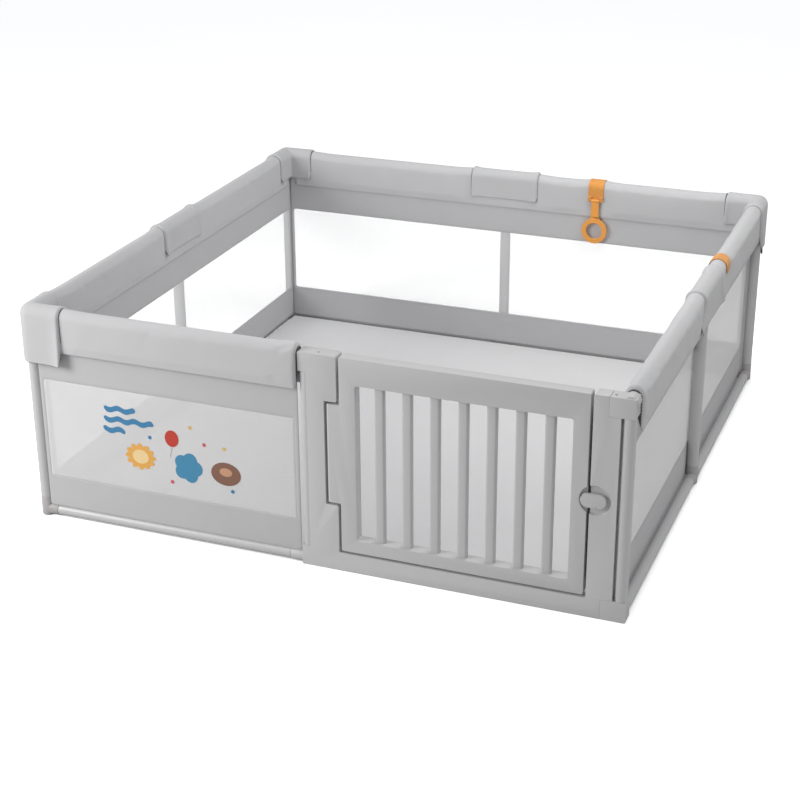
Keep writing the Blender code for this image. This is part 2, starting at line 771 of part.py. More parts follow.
def lever_end(centre, start):
    """Half a circle of the lever's outline, turning left from the start angle."""
    turn = [start + math.pi * step / LEVER_STEPS for step in range(LEVER_STEPS + 1)]
    half = LEVER_HALF_HEIGHT
    return [(centre + half * math.cos(a), half * math.sin(a)) for a in turn]


def make_latch():
    outline = lever_end(-LEVER_LEFT, math.pi / 2) + lever_end(LEVER_RIGHT, -math.pi / 2)
    middle = latch_axis((LEVER_FRONT + LEVER_BACK) / 2)
    place = frame_at(middle, X_AXIS, Z_AXIS)
    knob = plate("latch_knob", [outline], LEVER_BACK - LEVER_FRONT, place)
    round_edges(knob, LEVER_EDGE, 2, 60.0)
    root = latch_axis(LEVER_BACK - LATCH_ROOT)
    hub_end = latch_axis(GATE_FRONT + LATCH_RECESS_DEPTH - GAP)
    shaft_end = latch_axis(LATCH_SHAFT_END)
    hub = rod("hub", root, hub_end, LATCH_HUB_RADIUS, segments=2 * HIDDEN_SEGMENTS)
    shaft = rod("shaft", root, shaft_end, LATCH_SHAFT_RADIUS, segments=HIDDEN_SEGMENTS)
    combine(knob, [hub, shaft], "UNION")
    hole = rod("hole", shaft_end - Y_AXIS * SCREW_HOLE_DEPTH, shaft_end + Y_AXIS * CUT_MARGIN,
               SCREW_SHANK_RADIUS + GAP, segments=HIDDEN_SEGMENTS)
    finish(combine(knob, [hole], "DIFFERENCE"), PLASTIC)

    head_front, head_back = latch_axis(GATE_BACK + GAP), latch_axis(SCREW_HEAD_BACK)
    screw = rod("latch_screw", head_front, head_back, SCREW_HEAD_RADIUS)
    shank = rod("shank", shaft_end - Y_AXIS * SCREW_REACH, head_front + Y_AXIS * LATCH_ROOT,
                SCREW_SHANK_RADIUS, segments=HIDDEN_SEGMENTS)
    finish(combine(screw, [shank], "UNION"), METAL)


# Pull-up rings ---------------------------------------------------------------------------------

PIVOT_Y = -(PAD_HALF_WIDTH + GAP) - RING_PIVOT_OFFSET


def pivot_rod(name, half_length, radius):
    """A rod on the pivot's line, in the rail's own frame."""
    start, end = (-half_length, PIVOT_Y, RING_PIVOT_Z), (half_length, PIVOT_Y, RING_PIVOT_Z)
    return rod(name, start, end, radius, segments=HIDDEN_SEGMENTS)


def make_strap(name):
    """A strap folded over the rail, with the pin the ring swings on between two lugs."""
    half = PAD_HALF_WIDTH + GAP + STRAP_THICKNESS
    top = PAD_TOP + GAP + STRAP_THICKNESS
    section = sleeve_section(half, top, STRAP_THICKNESS, STRAP_OUTER_HEM, STRAP_INNER_HEM)
    strap = plate(name, [section], STRAP_WIDTH, frame_at(Vector(), Y_AXIS, Z_AXIS))
    lug_in, lug_out = TAB_WIDTH / 2 + LUG_CLEARANCE, STRAP_WIDTH / 2 - LUG_INSET
    extras = [pivot_rod("pin", lug_in + PIN_ROOT, PIN_RADIUS)]
    for sign in (-1, 1):
        x_low, x_high = sorted((sign * lug_in, sign * lug_out))
        low = (x_low, PIVOT_Y - LUG_FRONT, RING_PIVOT_Z - LUG_DROP)
        high = (x_high, PIVOT_Y + RING_PIVOT_OFFSET, STRAP_INNER_HEM + LUG_ROOT)
        extras.append(box("lug", low, high))
    return combine(strap, extras, "UNION")


def make_ring(name):
    """A ring under a flat tab, bored for the strap's pin."""
    centre = Vector((0.0, PIVOT_Y, RING_PIVOT_Z - RING_CENTRE_DROP))
    depth = Y_AXIS * RING_DEPTH / 2
    ring = rod(name, centre - depth, centre + depth, RING_OUTER_RADIUS, segments=RING_SEGMENTS)
    tab_bottom = centre.z + RING_OUTER_RADIUS - TAB_ROOT
    tab = box("tab", (-TAB_WIDTH / 2, PIVOT_Y - TAB_DEPTH / 2, tab_bottom),
              (TAB_WIDTH / 2, PIVOT_Y + TAB_DEPTH / 2, RING_PIVOT_Z))
    combine(ring, [tab, pivot_rod("barrel", TAB_WIDTH / 2, BARREL_RADIUS)], "UNION")
    hole = rod("hole", centre - depth * 2, centre + depth * 2, RING_INNER_RADIUS,
               segments=RING_SEGMENTS)
    return combine(ring, [hole, pivot_rod("bore", TAB_WIDTH, BARREL_BORE)], "DIFFERENCE")


def make_pull_ring(side, origin, outward, along):
    """A strap and its ring, made in the rail's own frame and put on the rail.

    In that frame X runs along the rail, Y outward and Z up, from a point on the floor under the
    rail's middle.
    """
    place = Matrix.Translation(origin) @ Matrix((along, outward, Z_AXIS)).transposed().to_4x4()
    strap = make_strap(f"pull_strap_{side}")
    strap.matrix_world = place @ strap.matrix_world
    finish(strap, WEBBING)
    ring = make_ring(f"pull_ring_{side}")
    ring.matrix_world = place @ ring.matrix_world
    finish(ring, RING_PLASTIC)


def make_pull_rings():
    make_pull_ring("back", Vector((STRAP_BACK_X, POST_LINE, 0.0)), Y_AXIS, -X_AXIS)
    make_pull_ring("right", Vector((POST_LINE, STRAP_RIGHT_Y, 0.0)), X_AXIS, Y_AXIS)


make_posts()
make_rails()
make_connectors()
make_pads()
make_joint_covers()
make_corner_caps()
make_walls()
make_mat()
make_gate_frame()
make_door()
make_hinge_rod()
make_latch()
make_pull_rings()
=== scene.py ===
import json
import math

import bmesh
import bpy
from mathutils import Matrix, Vector, noise


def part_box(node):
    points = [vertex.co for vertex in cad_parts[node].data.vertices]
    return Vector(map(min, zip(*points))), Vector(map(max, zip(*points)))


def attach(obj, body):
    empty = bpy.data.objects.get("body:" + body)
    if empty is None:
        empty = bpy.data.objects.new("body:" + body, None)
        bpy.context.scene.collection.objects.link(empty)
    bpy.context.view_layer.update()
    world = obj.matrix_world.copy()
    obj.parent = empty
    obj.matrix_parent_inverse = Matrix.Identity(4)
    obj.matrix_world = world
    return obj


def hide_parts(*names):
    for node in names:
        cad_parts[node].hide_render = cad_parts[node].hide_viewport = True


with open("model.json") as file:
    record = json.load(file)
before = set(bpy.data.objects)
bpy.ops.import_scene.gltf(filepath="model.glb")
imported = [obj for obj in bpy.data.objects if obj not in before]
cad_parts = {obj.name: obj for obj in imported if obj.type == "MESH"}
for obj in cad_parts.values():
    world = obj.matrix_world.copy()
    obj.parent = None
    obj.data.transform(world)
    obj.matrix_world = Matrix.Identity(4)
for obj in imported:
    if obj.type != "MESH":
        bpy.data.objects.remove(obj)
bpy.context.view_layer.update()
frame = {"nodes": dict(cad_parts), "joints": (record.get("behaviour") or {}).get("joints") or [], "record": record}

# Baby playpen: the looks, built around its fixed frame. Metres, +Z up, +Y to the back.
# The soft pieces, the gate, the tubes, the feet, the straps and the rings are rebuilt here at
# their full finish; the hidden connectors and the hinge rod keep their own meshes.

X_AXIS, Y_AXIS, Z_AXIS = Vector((1, 0, 0)), Vector((0, 1, 0)), Vector((0, 0, 1))


def middle(node_name):
    low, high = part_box(node_name)
    return (low + high) / 2


# Places read from the frame.
RAIL_LINE = -middle("post_front_left").x
POST_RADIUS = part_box("post_front_left")[1].x + RAIL_LINE
MID_X = middle("post_back_mid").x
GATE_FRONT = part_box("top_connector_front_right")[0].y
GATE_BACK = GATE_FRONT + 0.045
GATE_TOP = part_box("gate_frame")[1].z
HINGE, LATCH, RING_BACK, RING_RIGHT = (Vector(joint["pos_m"]) for joint in frame["joints"])

# Each side of the pen: the direction along it and the direction outward.
SIDES = {
    "front": (X_AXIS, -Y_AXIS),
    "left": (Y_AXIS, -X_AXIS),
    "back": (X_AXIS, Y_AXIS),
    "right": (Y_AXIS, X_AXIS),
}

# Fineness of the made meshes.
ROUND_STEPS = 48
ARCH_STEPS = 18
CLOTH_STEP = 0.012
SMOOTH_BELOW = math.radians(38.0)
BEVEL_ABOVE = math.radians(50.0)


# Objects and meshes ------------------------------------------------------------

def add_object(name, data):
    made = bpy.data.objects.new(name, data)
    bpy.context.scene.collection.objects.link(made)
    return made


def mesh_from(bm, name):
    mesh = bpy.data.meshes.new(name)
    bm.to_mesh(mesh)
    bm.free()
    return mesh


def evaluated_mesh(item):
    bpy.context.view_layer.update()
    graph = bpy.context.evaluated_depsgraph_get()
    return bpy.data.meshes.new_from_object(item.evaluated_get(graph))


def bake(item):
    """Put the result of an object's modifiers in place of its mesh."""
    mesh = evaluated_mesh(item)
    item.modifiers.clear()
    item.data = mesh


def modify(item, kind, **settings):
    """Add a modifier; the object comes back, so that calls can be chained."""
    step = item.modifiers.new(kind.lower(), kind)
    for key, value in settings.items():
        setattr(step, key, value)
    return item


def soften(item):
    return modify(item, "SUBSURF", levels=1, render_levels=1)


def thicken(item, thickness):
    bake(modify(item, "SOLIDIFY", thickness=thickness, offset=0.0, use_even_offset=True))


def combine(item, tools, operation):
    """Join or cut with the tool objects, which are used up."""
    for tool in tools:
        modify(item, "BOOLEAN", operation=operation, object=tool, solver="EXACT")
    bake(item)
    for tool in tools:
        bpy.data.objects.remove(tool)


def join(name, items):
    """Several loose shapes as one object."""
    bm = bmesh.new()
    for item in items:
        mesh = item.data.copy()
        mesh.transform(item.matrix_world)
        bm.from_mesh(mesh)
        bpy.data.objects.remove(item)
    return add_object(name, mesh_from(bm, name))


def stations(start, end, step=CLOTH_STEP):
    """Evenly spaced values from start to end, both included."""
    count = max(1, round(abs(end - start) / step))
    return [start + (end - start) * k / count for k in range(count + 1)]


def lines(*values):
    """Grid lines through each value in turn, a cloth step apart."""
    result = [values[0]]
    for start, end in zip(values, values[1:]):
        if end > start:
            result += stations(start, end)[1:]
    return result


def loft(name, rings, wrapped=False):
    """A skin through closed rings of points, capped at both ends or wrapped to the start."""
    bm = bmesh.new()
    rows = [[bm.verts.new(point) for point in ring] for ring in rings]
    following = rows[1:] + rows[:1] if wrapped else rows[1:]
    for row, after in zip(rows, following):
        for k in range(len(row)):
            n = (k + 1) % len(row)
            bm.faces.new((row[k], row[n], after[n], after[k]))
    if not wrapped:
        bm.faces.new(rows[0])
        bm.faces.new(rows[-1])
    bmesh.ops.recalc_face_normals(bm, faces=bm.faces)
    return add_object(name, mesh_from(bm, name))


def pillar(name, section, low, high):
    """A section of (x, y) points carried straight up."""
    return loft(name, [[(x, y, z) for x, y in section] for z in (low, high)])


def turned(name, profile, origin, axis, steps=ROUND_STEPS, wrapped=False):
    """A turned shape: the profile is (radius, distance along the axis), from end to end."""
    place = Matrix.Translation(origin) @ Z_AXIS.rotation_difference(axis).to_matrix().to_4x4()
    angles = [2 * math.pi * k / steps for k in range(steps)]
    rings = [
        [place @ Vector((r * math.cos(a), r * math.sin(a), along)) for a in angles]
        for r, along in profile
    ]
    return loft(name, rings, wrapped)


def rod(name, start, end, radius, edge=0.0, steps=ROUND_STEPS):
    """A solid rod between two points, its two edges rounded."""
    length = (end - start).length
    nose = [(radius, 0.0)]
    if edge:
        quarter = [math.pi / 2 * k / 3 for k in range(4)]
        nose = [(radius - edge + edge * math.sin(a), edge - edge * math.cos(a)) for a in quarter]
    profile = nose + [(r, length - along) for r, along in reversed(nose)]
    return turned(name, profile, start, end - start, steps)


def rectangle(left, low, right, high):
    return [(left, low), (right, low), (right, high), (left, high)]


def rounded(outline, radius, steps=4):
    """An outline with its corners turned to arcs; radius is one number or one for each corner."""
    radii = radius if isinstance(radius, list) else [radius] * len(outline)
    result = []
    for k, corner in enumerate(outline):
        here = Vector(corner)
        before = (Vector(outline[k - 1]) - here).normalized()
        after = (Vector(outline[(k + 1) % len(outline)]) - here).normalized()
        if radii[k] == 0 or abs(before.dot(after)) > 0.999:
            result.append(tuple(here))
            continue
        half = before.angle(after) / 2
        reach = radii[k] / math.tan(half)
        centre = here + (before + after).normalized() * radii[k] / math.sin(half)
        start, end = here + before * reach - centre, here + after * reach - centre
        turn = start.angle_signed(end)
        for n in range(steps + 1):
            result.append(tuple(centre + Matrix.Rotation(-turn * n / steps, 2) @ start))
    return result


def rounded_each(corners):
    """An outline from corners of (x, z, radius)."""
    return rounded([(x, z) for x, z, _ in corners], [radius for *_, radius in corners])


def curve_mesh(outlines, dimensions, level=0.0, **settings):
    """The mesh of a curve whose closed outlines lie at one level."""
    curve = bpy.data.curves.new("outlines", "CURVE")
    curve.dimensions = dimensions
    for key, value in settings.items():
        setattr(curve, key, value)
    for outline in outlines:
        spline = curve.splines.new("POLY")
        spline.points.add(len(outline) - 1)
        for point, (u, v) in zip(spline.points, outline):
            point.co = (u, v, level, 1.0)
        spline.use_cyclic_u = True
    item = add_object("outlines", curve)
    mesh = evaluated_mesh(item)
    bpy.data.objects.remove(item)
    return mesh


def plate(name, outlines, depth, matrix, edge=0.0, edge_steps=3):
    """A flat outline with its depth along its own Z, its edges rounded inside that size."""
    bm = bmesh.new()
    bm.from_mesh(curve_mesh(outlines, "2D", fill_mode="BOTH", extrude=depth / 2))
    bmesh.ops.remove_doubles(bm, verts=bm.verts, dist=0.00001)
    bmesh.ops.recalc_face_normals(bm, faces=bm.faces)
    bmesh.ops.transform(bm, matrix=matrix, verts=bm.verts)
    item = add_object(name, mesh_from(bm, name))
    if edge:
        modify(item, "BEVEL", width=edge, segments=edge_steps, limit_method="ANGLE",
               angle_limit=BEVEL_ABOVE)
        bake(item)
    return item


def frame_at(origin, u_axis, v_axis):
    """The matrix that puts an outline's u and v along two directions of the frame."""
    matrix = Matrix((u_axis, v_axis, u_axis.cross(v_axis))).transposed().to_4x4()
    return Matrix.Translation(origin) @ matrix


def finish(item, body, surface, replaced=(), sharp=False):
    """Give a piece its body and its material, and hide the nodes it stands for."""
    item.data.name = item.name
    item.data.materials.clear()
    item.data.materials.append(surface)
    item.data.shade_smooth()
    if sharp:
        item.data.set_sharp_from_angle(angle=SMOOTH_BELOW)
    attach(item, body)
    if replaced:
        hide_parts(*replaced)


def paint_shade(item, in_shade):
    """Painted shade: the near-black cloth on the faces for which the given test is true of (index, centre)."""
    item.data.materials.append(SHADE_CLOTH)
    for face in item.data.polygons:
        if in_shade(face.index, face.center):
            face.material_index = 1


# Camera, lights and floor ------------------------------------------------------

EYE = Vector((1.7789, -4.8095, 2.3956))
EYE_TURN = math.radians(21.2189)
EYE_PITCH = math.radians(23.7158)
EYE_ROLL = math.radians(-0.2841)
EYE_LENS = 77.59
EYE_SENSOR = 36.0

ROOM_COLOUR = (0.97, 0.985, 1.0, 1.0)
ROOM_STRENGTH = 0.41
SUN_WAY = Vector((-0.12, 0.10, -1.0))
SUN_STRENGTH = 0.45
SUN_SOFTNESS = math.radians(50.0)
WARM_WHITE = (1.0, 0.995, 0.985)

# Each panel: its place, what it points at, its size, its power and its colour.
PANELS = {
    "top_panel": ((0.65, 0.30, 2.3), (0.0, 0.0, 0.0), 1.2, 20.0, WARM_WHITE),
    "front_panel": ((-2.6, -2.8, 1.7), (0.0, -0.9, 0.3), 1.6, 80.0, (1.0, 0.99, 0.98)),
    "right_panel": ((4.2, -1.2, 1.5), (0.9, 0.0, 0.3), 2.0, 17.0, (1.0, 0.98, 0.96)),
}

FLOOR_SIZE = 40.0
FLOOR_DROP = 0.0005
FLOOR_SEEN = ((1.74, 1.74, 1.74), (1.79, 1.79, 1.79))
FLOOR_BOUNCE = (0.62, 0.62, 0.62, 1.0)


def make_camera():
    data = bpy.data.cameras.new("camera")
    data.sensor_width = EYE_SENSOR
    data.lens = EYE_LENS
    camera = add_object("camera", data)
    camera.matrix_world = (
        Matrix.Translation(EYE)
        @ Matrix.Rotation(EYE_TURN, 4, "Z")
        @ Matrix.Rotation(math.pi / 2 - EYE_PITCH, 4, "X")
        @ Matrix.Rotation(EYE_ROLL, 4, "Z")
    )
    bpy.context.scene.camera = camera


def make_room():
    """A white room that lights the pen less than it shows itself to the camera."""
    world = bpy.data.worlds.new("studio")
    world.use_nodes = True
    tree = world.node_tree
    backdrop = node(tree, "LightPath").outputs["Is Camera Ray"]
    strength = ranged(tree, backdrop, ROOM_STRENGTH, 1.0, 0.0, 1.0)
    fill(tree, tree.nodes["Background"], {"Color": ROOM_COLOUR, "Strength": strength})
    bpy.context.scene.world = world
    bpy.context.scene.view_settings.view_transform = "Standard"


def add_light(name, kind, strength, colour, way):
    data = bpy.data.lights.new(name, kind)
    data.energy = strength
    data.color = colour
    light = add_object(name, data)
    light.rotation_mode = "QUATERNION"
    light.rotation_quaternion = way.to_track_quat("-Z", "Y")
    return light


def make_lights():
    """A soft sun from above, and panels above, at the front left and at the right."""
    sun = add_light("overhead", "SUN", SUN_STRENGTH, WARM_WHITE, SUN_WAY)
    sun.data.angle = SUN_SOFTNESS
    for name, (place, target, size, power, colour) in PANELS.items():
        panel = add_light(name, "AREA", power, colour, Vector(target) - Vector(place))
        panel.data.size = size
        panel.location = place


def make_floor():
    """A pale floor, brighter to the camera than to the room so that it doesn't light the pen."""
    bm = bmesh.new()
    bmesh.ops.create_grid(bm, x_segments=8, y_segments=8, size=FLOOR_SIZE)
    floor = add_object("studio_floor", mesh_from(bm, "studio_floor"))
    floor.location.z = -FLOOR_DROP
    surface, tree, shader = blank("floor_paint")
    paint = tinted(tree, speckle(tree, 0.6), *FLOOR_SEEN)
    seen = node(tree, "LightPath").outputs["Is Camera Ray"]
    mix = node(tree, "Mix", {"Factor": seen, 6: FLOOR_BOUNCE, 7: paint}, data_type="RGBA")
    fill(tree, shader, {"Base Color": mix.outputs[2], "Roughness": 0.9,
                        "Specular IOR Level": 0.0})
    floor.data.materials.append(surface)


# Materials ---------------------------------------------------------------------

def fill(tree, made, inputs):
    """Give a node's inputs their values; each is a number, a colour or another's output."""
    for key, value in inputs.items():
        if isinstance(value, bpy.types.NodeSocket):
            tree.links.new(value, made.inputs[key])
        else:
            made.inputs[key].default_value = value


def node(tree, kind, inputs=None, **settings):
    """A shader node with its settings and its inputs."""
    made = tree.nodes.new("ShaderNode" + kind)
    for key, value in settings.items():
        setattr(made, key, value)
    fill(tree, made, inputs or {})
    return made


def blank(name):
    surface = bpy.data.materials.new(name)
    surface.use_nodes = True
    tree = surface.node_tree
    return surface, tree, tree.nodes["Principled BSDF"]


def place_of(tree):
    return node(tree, "TexCoord").outputs["Object"]


def speckle(tree, scale, detail=3.0):
    """Noise at a scale, from 0 to 1."""
    inputs = {"Vector": place_of(tree), "Scale": scale, "Detail": detail}
    return node(tree, "TexNoise", inputs).outputs["Fac"]


def ranged(tree, value, low, high, start=0.35, end=0.65):
    """A value stretched from the range between start and end to that between low and high."""
    inputs = {"Value": value, "From Min": start, "From Max": end, "To Min": low, "To Max": high}
    return node(tree, "MapRange", inputs).outputs["Result"]


def uneven(tree, scale, low, high):
    """A number that varies in patches."""
    return ranged(tree, speckle(tree, scale), low, high)


def tinted(tree, factor, dark, light):
    inputs = {"Factor": factor, 6: (*dark, 1.0), 7: (*light, 1.0)}
    return node(tree, "Mix", inputs, data_type="RGBA").outputs[2]


def shaded(colour, share):
    return tuple(channel * share for channel in colour)


def mottled(tree, colour, scale, dark, light):
    """A colour that varies in patches between two shares of itself."""
    return tinted(tree, speckle(tree, scale), shaded(colour, dark), shaded(colour, light))


def scaled(tree, vector, factor):
    inputs = {0: vector, "Scale": factor}
    return node(tree, "VectorMath", inputs, operation="SCALE").outputs[0]


def bumped(tree, height, distance, strength=1.0, under=None):
    """The normal of a surface with a height, on top of another normal if one is given."""
    inputs = {"Height": height, "Distance": distance, "Strength": strength}
    if under is not None:
        inputs["Normal"] = under
    return node(tree, "Bump", inputs).outputs["Normal"]


def threads(tree, pitch):
    """The height of a plain weave on any face, from -1 to 1, by the plane that the face is in."""
    turns = scaled(tree, place_of(tree), 2 * math.pi / pitch)
    waves = node(tree, "VectorMath", {0: turns}, operation="SINE").outputs[0]
    parts = node(tree, "SeparateXYZ", {0: waves}).outputs
    first = node(tree, "CombineXYZ", {0: parts[1], 1: parts[2], 2: parts[0]}).outputs[0]
    second = node(tree, "CombineXYZ", {0: parts[2], 1: parts[0], 2: parts[1]}).outputs[0]
    crossed = node(tree, "VectorMath", {0: first, 1: second}, operation="MULTIPLY").outputs[0]
    facing = node(tree, "NewGeometry").outputs["Normal"]
    weight = node(tree, "VectorMath", {0: facing, 1: facing}, operation="MULTIPLY").outputs[0]
    inputs = {0: crossed, 1: weight}
    return node(tree, "VectorMath", inputs, operation="DOT_PRODUCT").outputs["Value"]


def edge_wear(tree, colour, worn):
    """Slightly paler along convex edges."""
    pointed = node(tree, "NewGeometry").outputs["Pointiness"]
    inputs = {"Factor": ranged(tree, pointed, 0.0, 1.0, 0.52, 0.60), 6: colour, 7: (*worn, 1.0)}
    return node(tree, "Mix", inputs, data_type="RGBA").outputs[2]


def moulded(name, colour, roughness):
    """Injection-moulded plastic: fine spark-eroded grain, slightly uneven gloss."""
    surface, tree, shader = blank(name)
    mottle = mottled(tree, colour, 7.0, 0.975, 1.02)
    grain = bumped(tree, speckle(tree, 1400.0, 2.0), 0.00012, 0.7)
    fill(tree, shader, {
        "Base Color": edge_wear(tree, mottle, shaded(colour, 1.08)),
        "Roughness": uneven(tree, 38.0, roughness - 0.05, roughness + 0.06),
        "Normal": bumped(tree, speckle(tree, 24.0), 0.0006, 0.25, grain),
        "Specular IOR Level": 0.42,
    })
    return surface


def coated(name, colour):
    """Powder-coated steel: orange peel under a satin coat."""
    surface, tree, shader = blank(name)
    fill(tree, shader, {
        "Base Color": mottled(tree, colour, 11.0, 0.98, 1.02),
        "Roughness": uneven(tree, 60.0, 0.30, 0.40),
        "Normal": bumped(tree, speckle(tree, 420.0, 2.0), 0.00025, 0.5),
        "Coat Weight": 0.15,
        "Coat Roughness": 0.25,
    })
    return surface


def woven(name, colour, pitch, sheen=0.35, creases=0.0012, roughness=0.82):
    """Cloth: a plain weave with darker gaps, uneven threads and faint broad creases."""
    surface, tree, shader = blank(name)
    weave = threads(tree, pitch)
    gaps = ranged(tree, weave, 0.90, 1.03, -1.0, 1.0)
    broad = bumped(tree, speckle(tree, 16.0, 2.0), creases, 0.6)
    fill(tree, shader, {
        "Base Color": scaled(tree, mottled(tree, colour, 9.0, 0.98, 1.02), gaps),
        "Roughness": uneven(tree, 130.0, roughness - 0.06, roughness + 0.08),
        "Normal": bumped(tree, weave, pitch * 0.12, 0.5, broad),
        "Sheen Weight": sheen,
        "Sheen Roughness": 0.45,
        "Specular IOR Level": 0.25,
    })
    return surface


def netting(name, colour, pitch, cover):
    """Fine knitted net: solid threads round small open holes, spread flat along the wall."""
    surface, tree, shader = blank(name)
    spot = node(tree, "SeparateXYZ", {0: place_of(tree)}).outputs
    along = node(tree, "Math", {0: spot[0], 1: spot[1]}, operation="ADD").outputs[0]
    flat = node(tree, "CombineXYZ", {0: along, 1: spot[2]}).outputs[0]
    cells = node(tree, "TexVoronoi", {"Vector": flat, "Scale": 1 / pitch, "Randomness": 0.4},
                 feature="DISTANCE_TO_EDGE", voronoi_dimensions="2D")
    thread = ranged(tree, cells.outputs["Distance"], cover * 1.5, cover * 0.6, 0.08, 0.26)
    fill(tree, shader, {
        "Base Color": mottled(tree, colour, 6.0, 0.985, 1.01),
        "Alpha": thread,
        "Normal": bumped(tree, thread, 0.0003, 0.5),
        "Roughness": 0.8,
        "Sheen Weight": 0.2,
    })
    return surface


def ribbed(name, colour, pitch):
    """Woven webbing: ribs one way, threads across them."""
    surface, tree, shader = blank(name)
    weave = threads(tree, pitch)
    gaps = ranged(tree, weave, 0.86, 1.04, -1.0, 1.0)
    fill(tree, shader, {
        "Base Color": scaled(tree, mottled(tree, colour, 60.0, 0.93, 1.05), gaps),
        "Roughness": uneven(tree, 200.0, 0.62, 0.78),
        "Normal": bumped(tree, weave, pitch * 0.25, 0.7),
        "Sheen Weight": 0.25,
    })
    return surface


def brushed(name, colour):
    """Bright steel with a fine turned finish."""
    surface, tree, shader = blank(name)
    fill(tree, shader, {
        "Base Color": mottled(tree, colour, 90.0, 0.9, 1.0),
        "Roughness": uneven(tree, 700.0, 0.22, 0.38),
        "Normal": bumped(tree, speckle(tree, 900.0), 0.0001, 0.4),
        "Metallic": 1.0,
    })
    return surface


WEAVE_PITCH = 0.0011
NET_PITCH = 0.0024

PLASTIC = moulded("moulded_plastic", (0.535, 0.53, 0.535), 0.46)
# A darker copy of the gate's plastic for the feet: painted shade on the low feet.
SHADED_FOOT_PLASTIC = moulded("shaded_foot_plastic", (0.43, 0.415, 0.415), 0.5)
PAINT = coated("powder_coat", (0.535, 0.535, 0.54))
OXFORD = woven("oxford_cloth", (0.545, 0.545, 0.555), WEAVE_PITCH)
PADDING = woven("padded_cloth", (0.56, 0.56, 0.57), WEAVE_PITCH, sheen=0.4, creases=0.0016)
BAND = woven("band_cloth", (0.53, 0.53, 0.54), WEAVE_PITCH)
MAT = woven("mat_cloth", (0.74, 0.74, 0.75), 0.0014, sheen=0.2, roughness=0.7)
# One net in three copies whose colour and cover differ by side: the front and right copies are darker, painted
# shade for those sides.
OPEN_NET = netting("open_net", (0.95, 0.95, 0.96), NET_PITCH, 0.245)
SHADED_FRONT_NET = netting("front_net", (0.715, 0.71, 0.715), NET_PITCH, 0.75)
SHADED_RIGHT_NET = netting("right_net", (0.88, 0.87, 0.87), NET_PITCH, 0.565)
NETS = {"front": SHADED_FRONT_NET, "left": OPEN_NET, "back": OPEN_NET, "right": SHADED_RIGHT_NET}
# Near-black cloth that stands in for the shade in the gaps under the flaps and caps and at the sleeve ends:
# painted shade.
SHADE_CLOTH = woven("painted_shade_cloth", (0.085, 0.085, 0.09), WEAVE_PITCH, sheen=0.1)
ORANGE_PLASTIC = moulded("orange_plastic", (0.82, 0.35, 0.07), 0.42)
WEBBING = ribbed("orange_webbing", (0.84, 0.36, 0.07), 0.0016)
STEEL = brushed("bright_steel", (0.62, 0.62, 0.63))
THREAD = woven("sewing_thread", (0.47, 0.47, 0.48), 0.0006)


# Tubes, feet and connectors ----------------------------------------------------

TUBE_WALL = 0.0012
TUBE_LIP = 0.0005
FOOT_RADIUS = 0.0185
FOOT_TOP = 0.060
FOOT_EDGE = 0.0018
PLUG_RADIUS = 0.0163
PLUG_REACH = 0.030
PLUG_ROOT = 0.020
ARM_RADIUS = 0.0175
ARM_EDGE = 0.0030
ARM_REACH = 0.042
ARM_Z = 0.020
ARM_PLUG_RADIUS = 0.0143
TOP_TUBE_Z = 0.634
TOP_PLUG_RADIUS = 0.0108
EDGE_BEND = 0.3

# Each corner or middle of the frame, with the ways that its tubes go.
JUNCTIONS = {
    "front_left": (X_AXIS, Y_AXIS),
    "left_mid": (-Y_AXIS, Y_AXIS),
    "back_left": (X_AXIS, -Y_AXIS),
    "back_mid": (-X_AXIS, X_AXIS),
    "back_right": (-X_AXIS, -Y_AXIS),
    "right_mid": (-Y_AXIS, Y_AXIS),
}


def make_tube(node_name):
    """A thin-walled tube along its node's longest side, with rounded lips."""
    low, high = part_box(node_name)
    size = high - low
    longest = max(range(3), key=lambda k: size[k])
    axis, length = (X_AXIS, Y_AXIS, Z_AXIS)[longest], size[longest]
    outer = size[(longest + 1) % 3] / 2
    inner = outer - TUBE_WALL
    near = [(inner, TUBE_LIP), (inner + TUBE_LIP, 0.0), (outer - TUBE_LIP, 0.0), (outer, TUBE_LIP)]
    profile = near + [(r, length - along) for r, along in reversed(near)]
    start = (low + high) / 2 - axis * length / 2
    tube = turned(node_name + "_tube", profile, start, axis, wrapped=True)
    finish(tube, "pen", PAINT, [node_name], sharp=True)


def make_tubes():
    for row in frame["record"]["subparts"]:
        if row["material_slot"] == "painted_tube":
            make_tube(row["node"])


def shoulder(radius, reach, edge, plug_radius):
    """The profile of a rounded shoulder and the plug beyond it that goes into a tube."""
    tip = reach + PLUG_REACH
    return [
        (radius, reach - edge), (radius - edge * EDGE_BEND, reach - edge * EDGE_BEND),
        (radius - edge, reach), (plug_radius, reach), (plug_radius, tip - FOOT_EDGE),
        (plug_radius - FOOT_EDGE, tip),
    ]


def arm(start, direction, reach):
    """A connector's arm and the plug at its end."""
    profile = [(ARM_RADIUS, 0.0)] + shoulder(ARM_RADIUS, reach, ARM_EDGE, ARM_PLUG_RADIUS)
    return turned("arm", profile, start, direction)


def make_foot(place, directions):
    """A foot that stands on the floor, holds the post and takes the bottom tubes."""
    node_name = "bottom_connector_" + place
    post = middle("post_" + place)
    base = Vector((post.x, post.y, 0.0))
    profile = [
        (FOOT_RADIUS - FOOT_EDGE, 0.0),
        (FOOT_RADIUS - FOOT_EDGE * EDGE_BEND, FOOT_EDGE * EDGE_BEND), (FOOT_RADIUS, FOOT_EDGE),
    ]
    profile += shoulder(FOOT_RADIUS, FOOT_TOP, FOOT_EDGE, PLUG_RADIUS)
    foot = turned(node_name + "_foot", profile, base, Z_AXIS)
    arms = [arm(base + Z_AXIS * ARM_Z, way, ARM_REACH) for way in directions]
    combine(foot, arms, "UNION")
    finish(foot, "pen", SHADED_FOOT_PLASTIC, [node_name], sharp=True)


def make_feet():
    for place, directions in JUNCTIONS.items():
        make_foot(place, directions)


# Padded rails ------------------------------------------------------------------

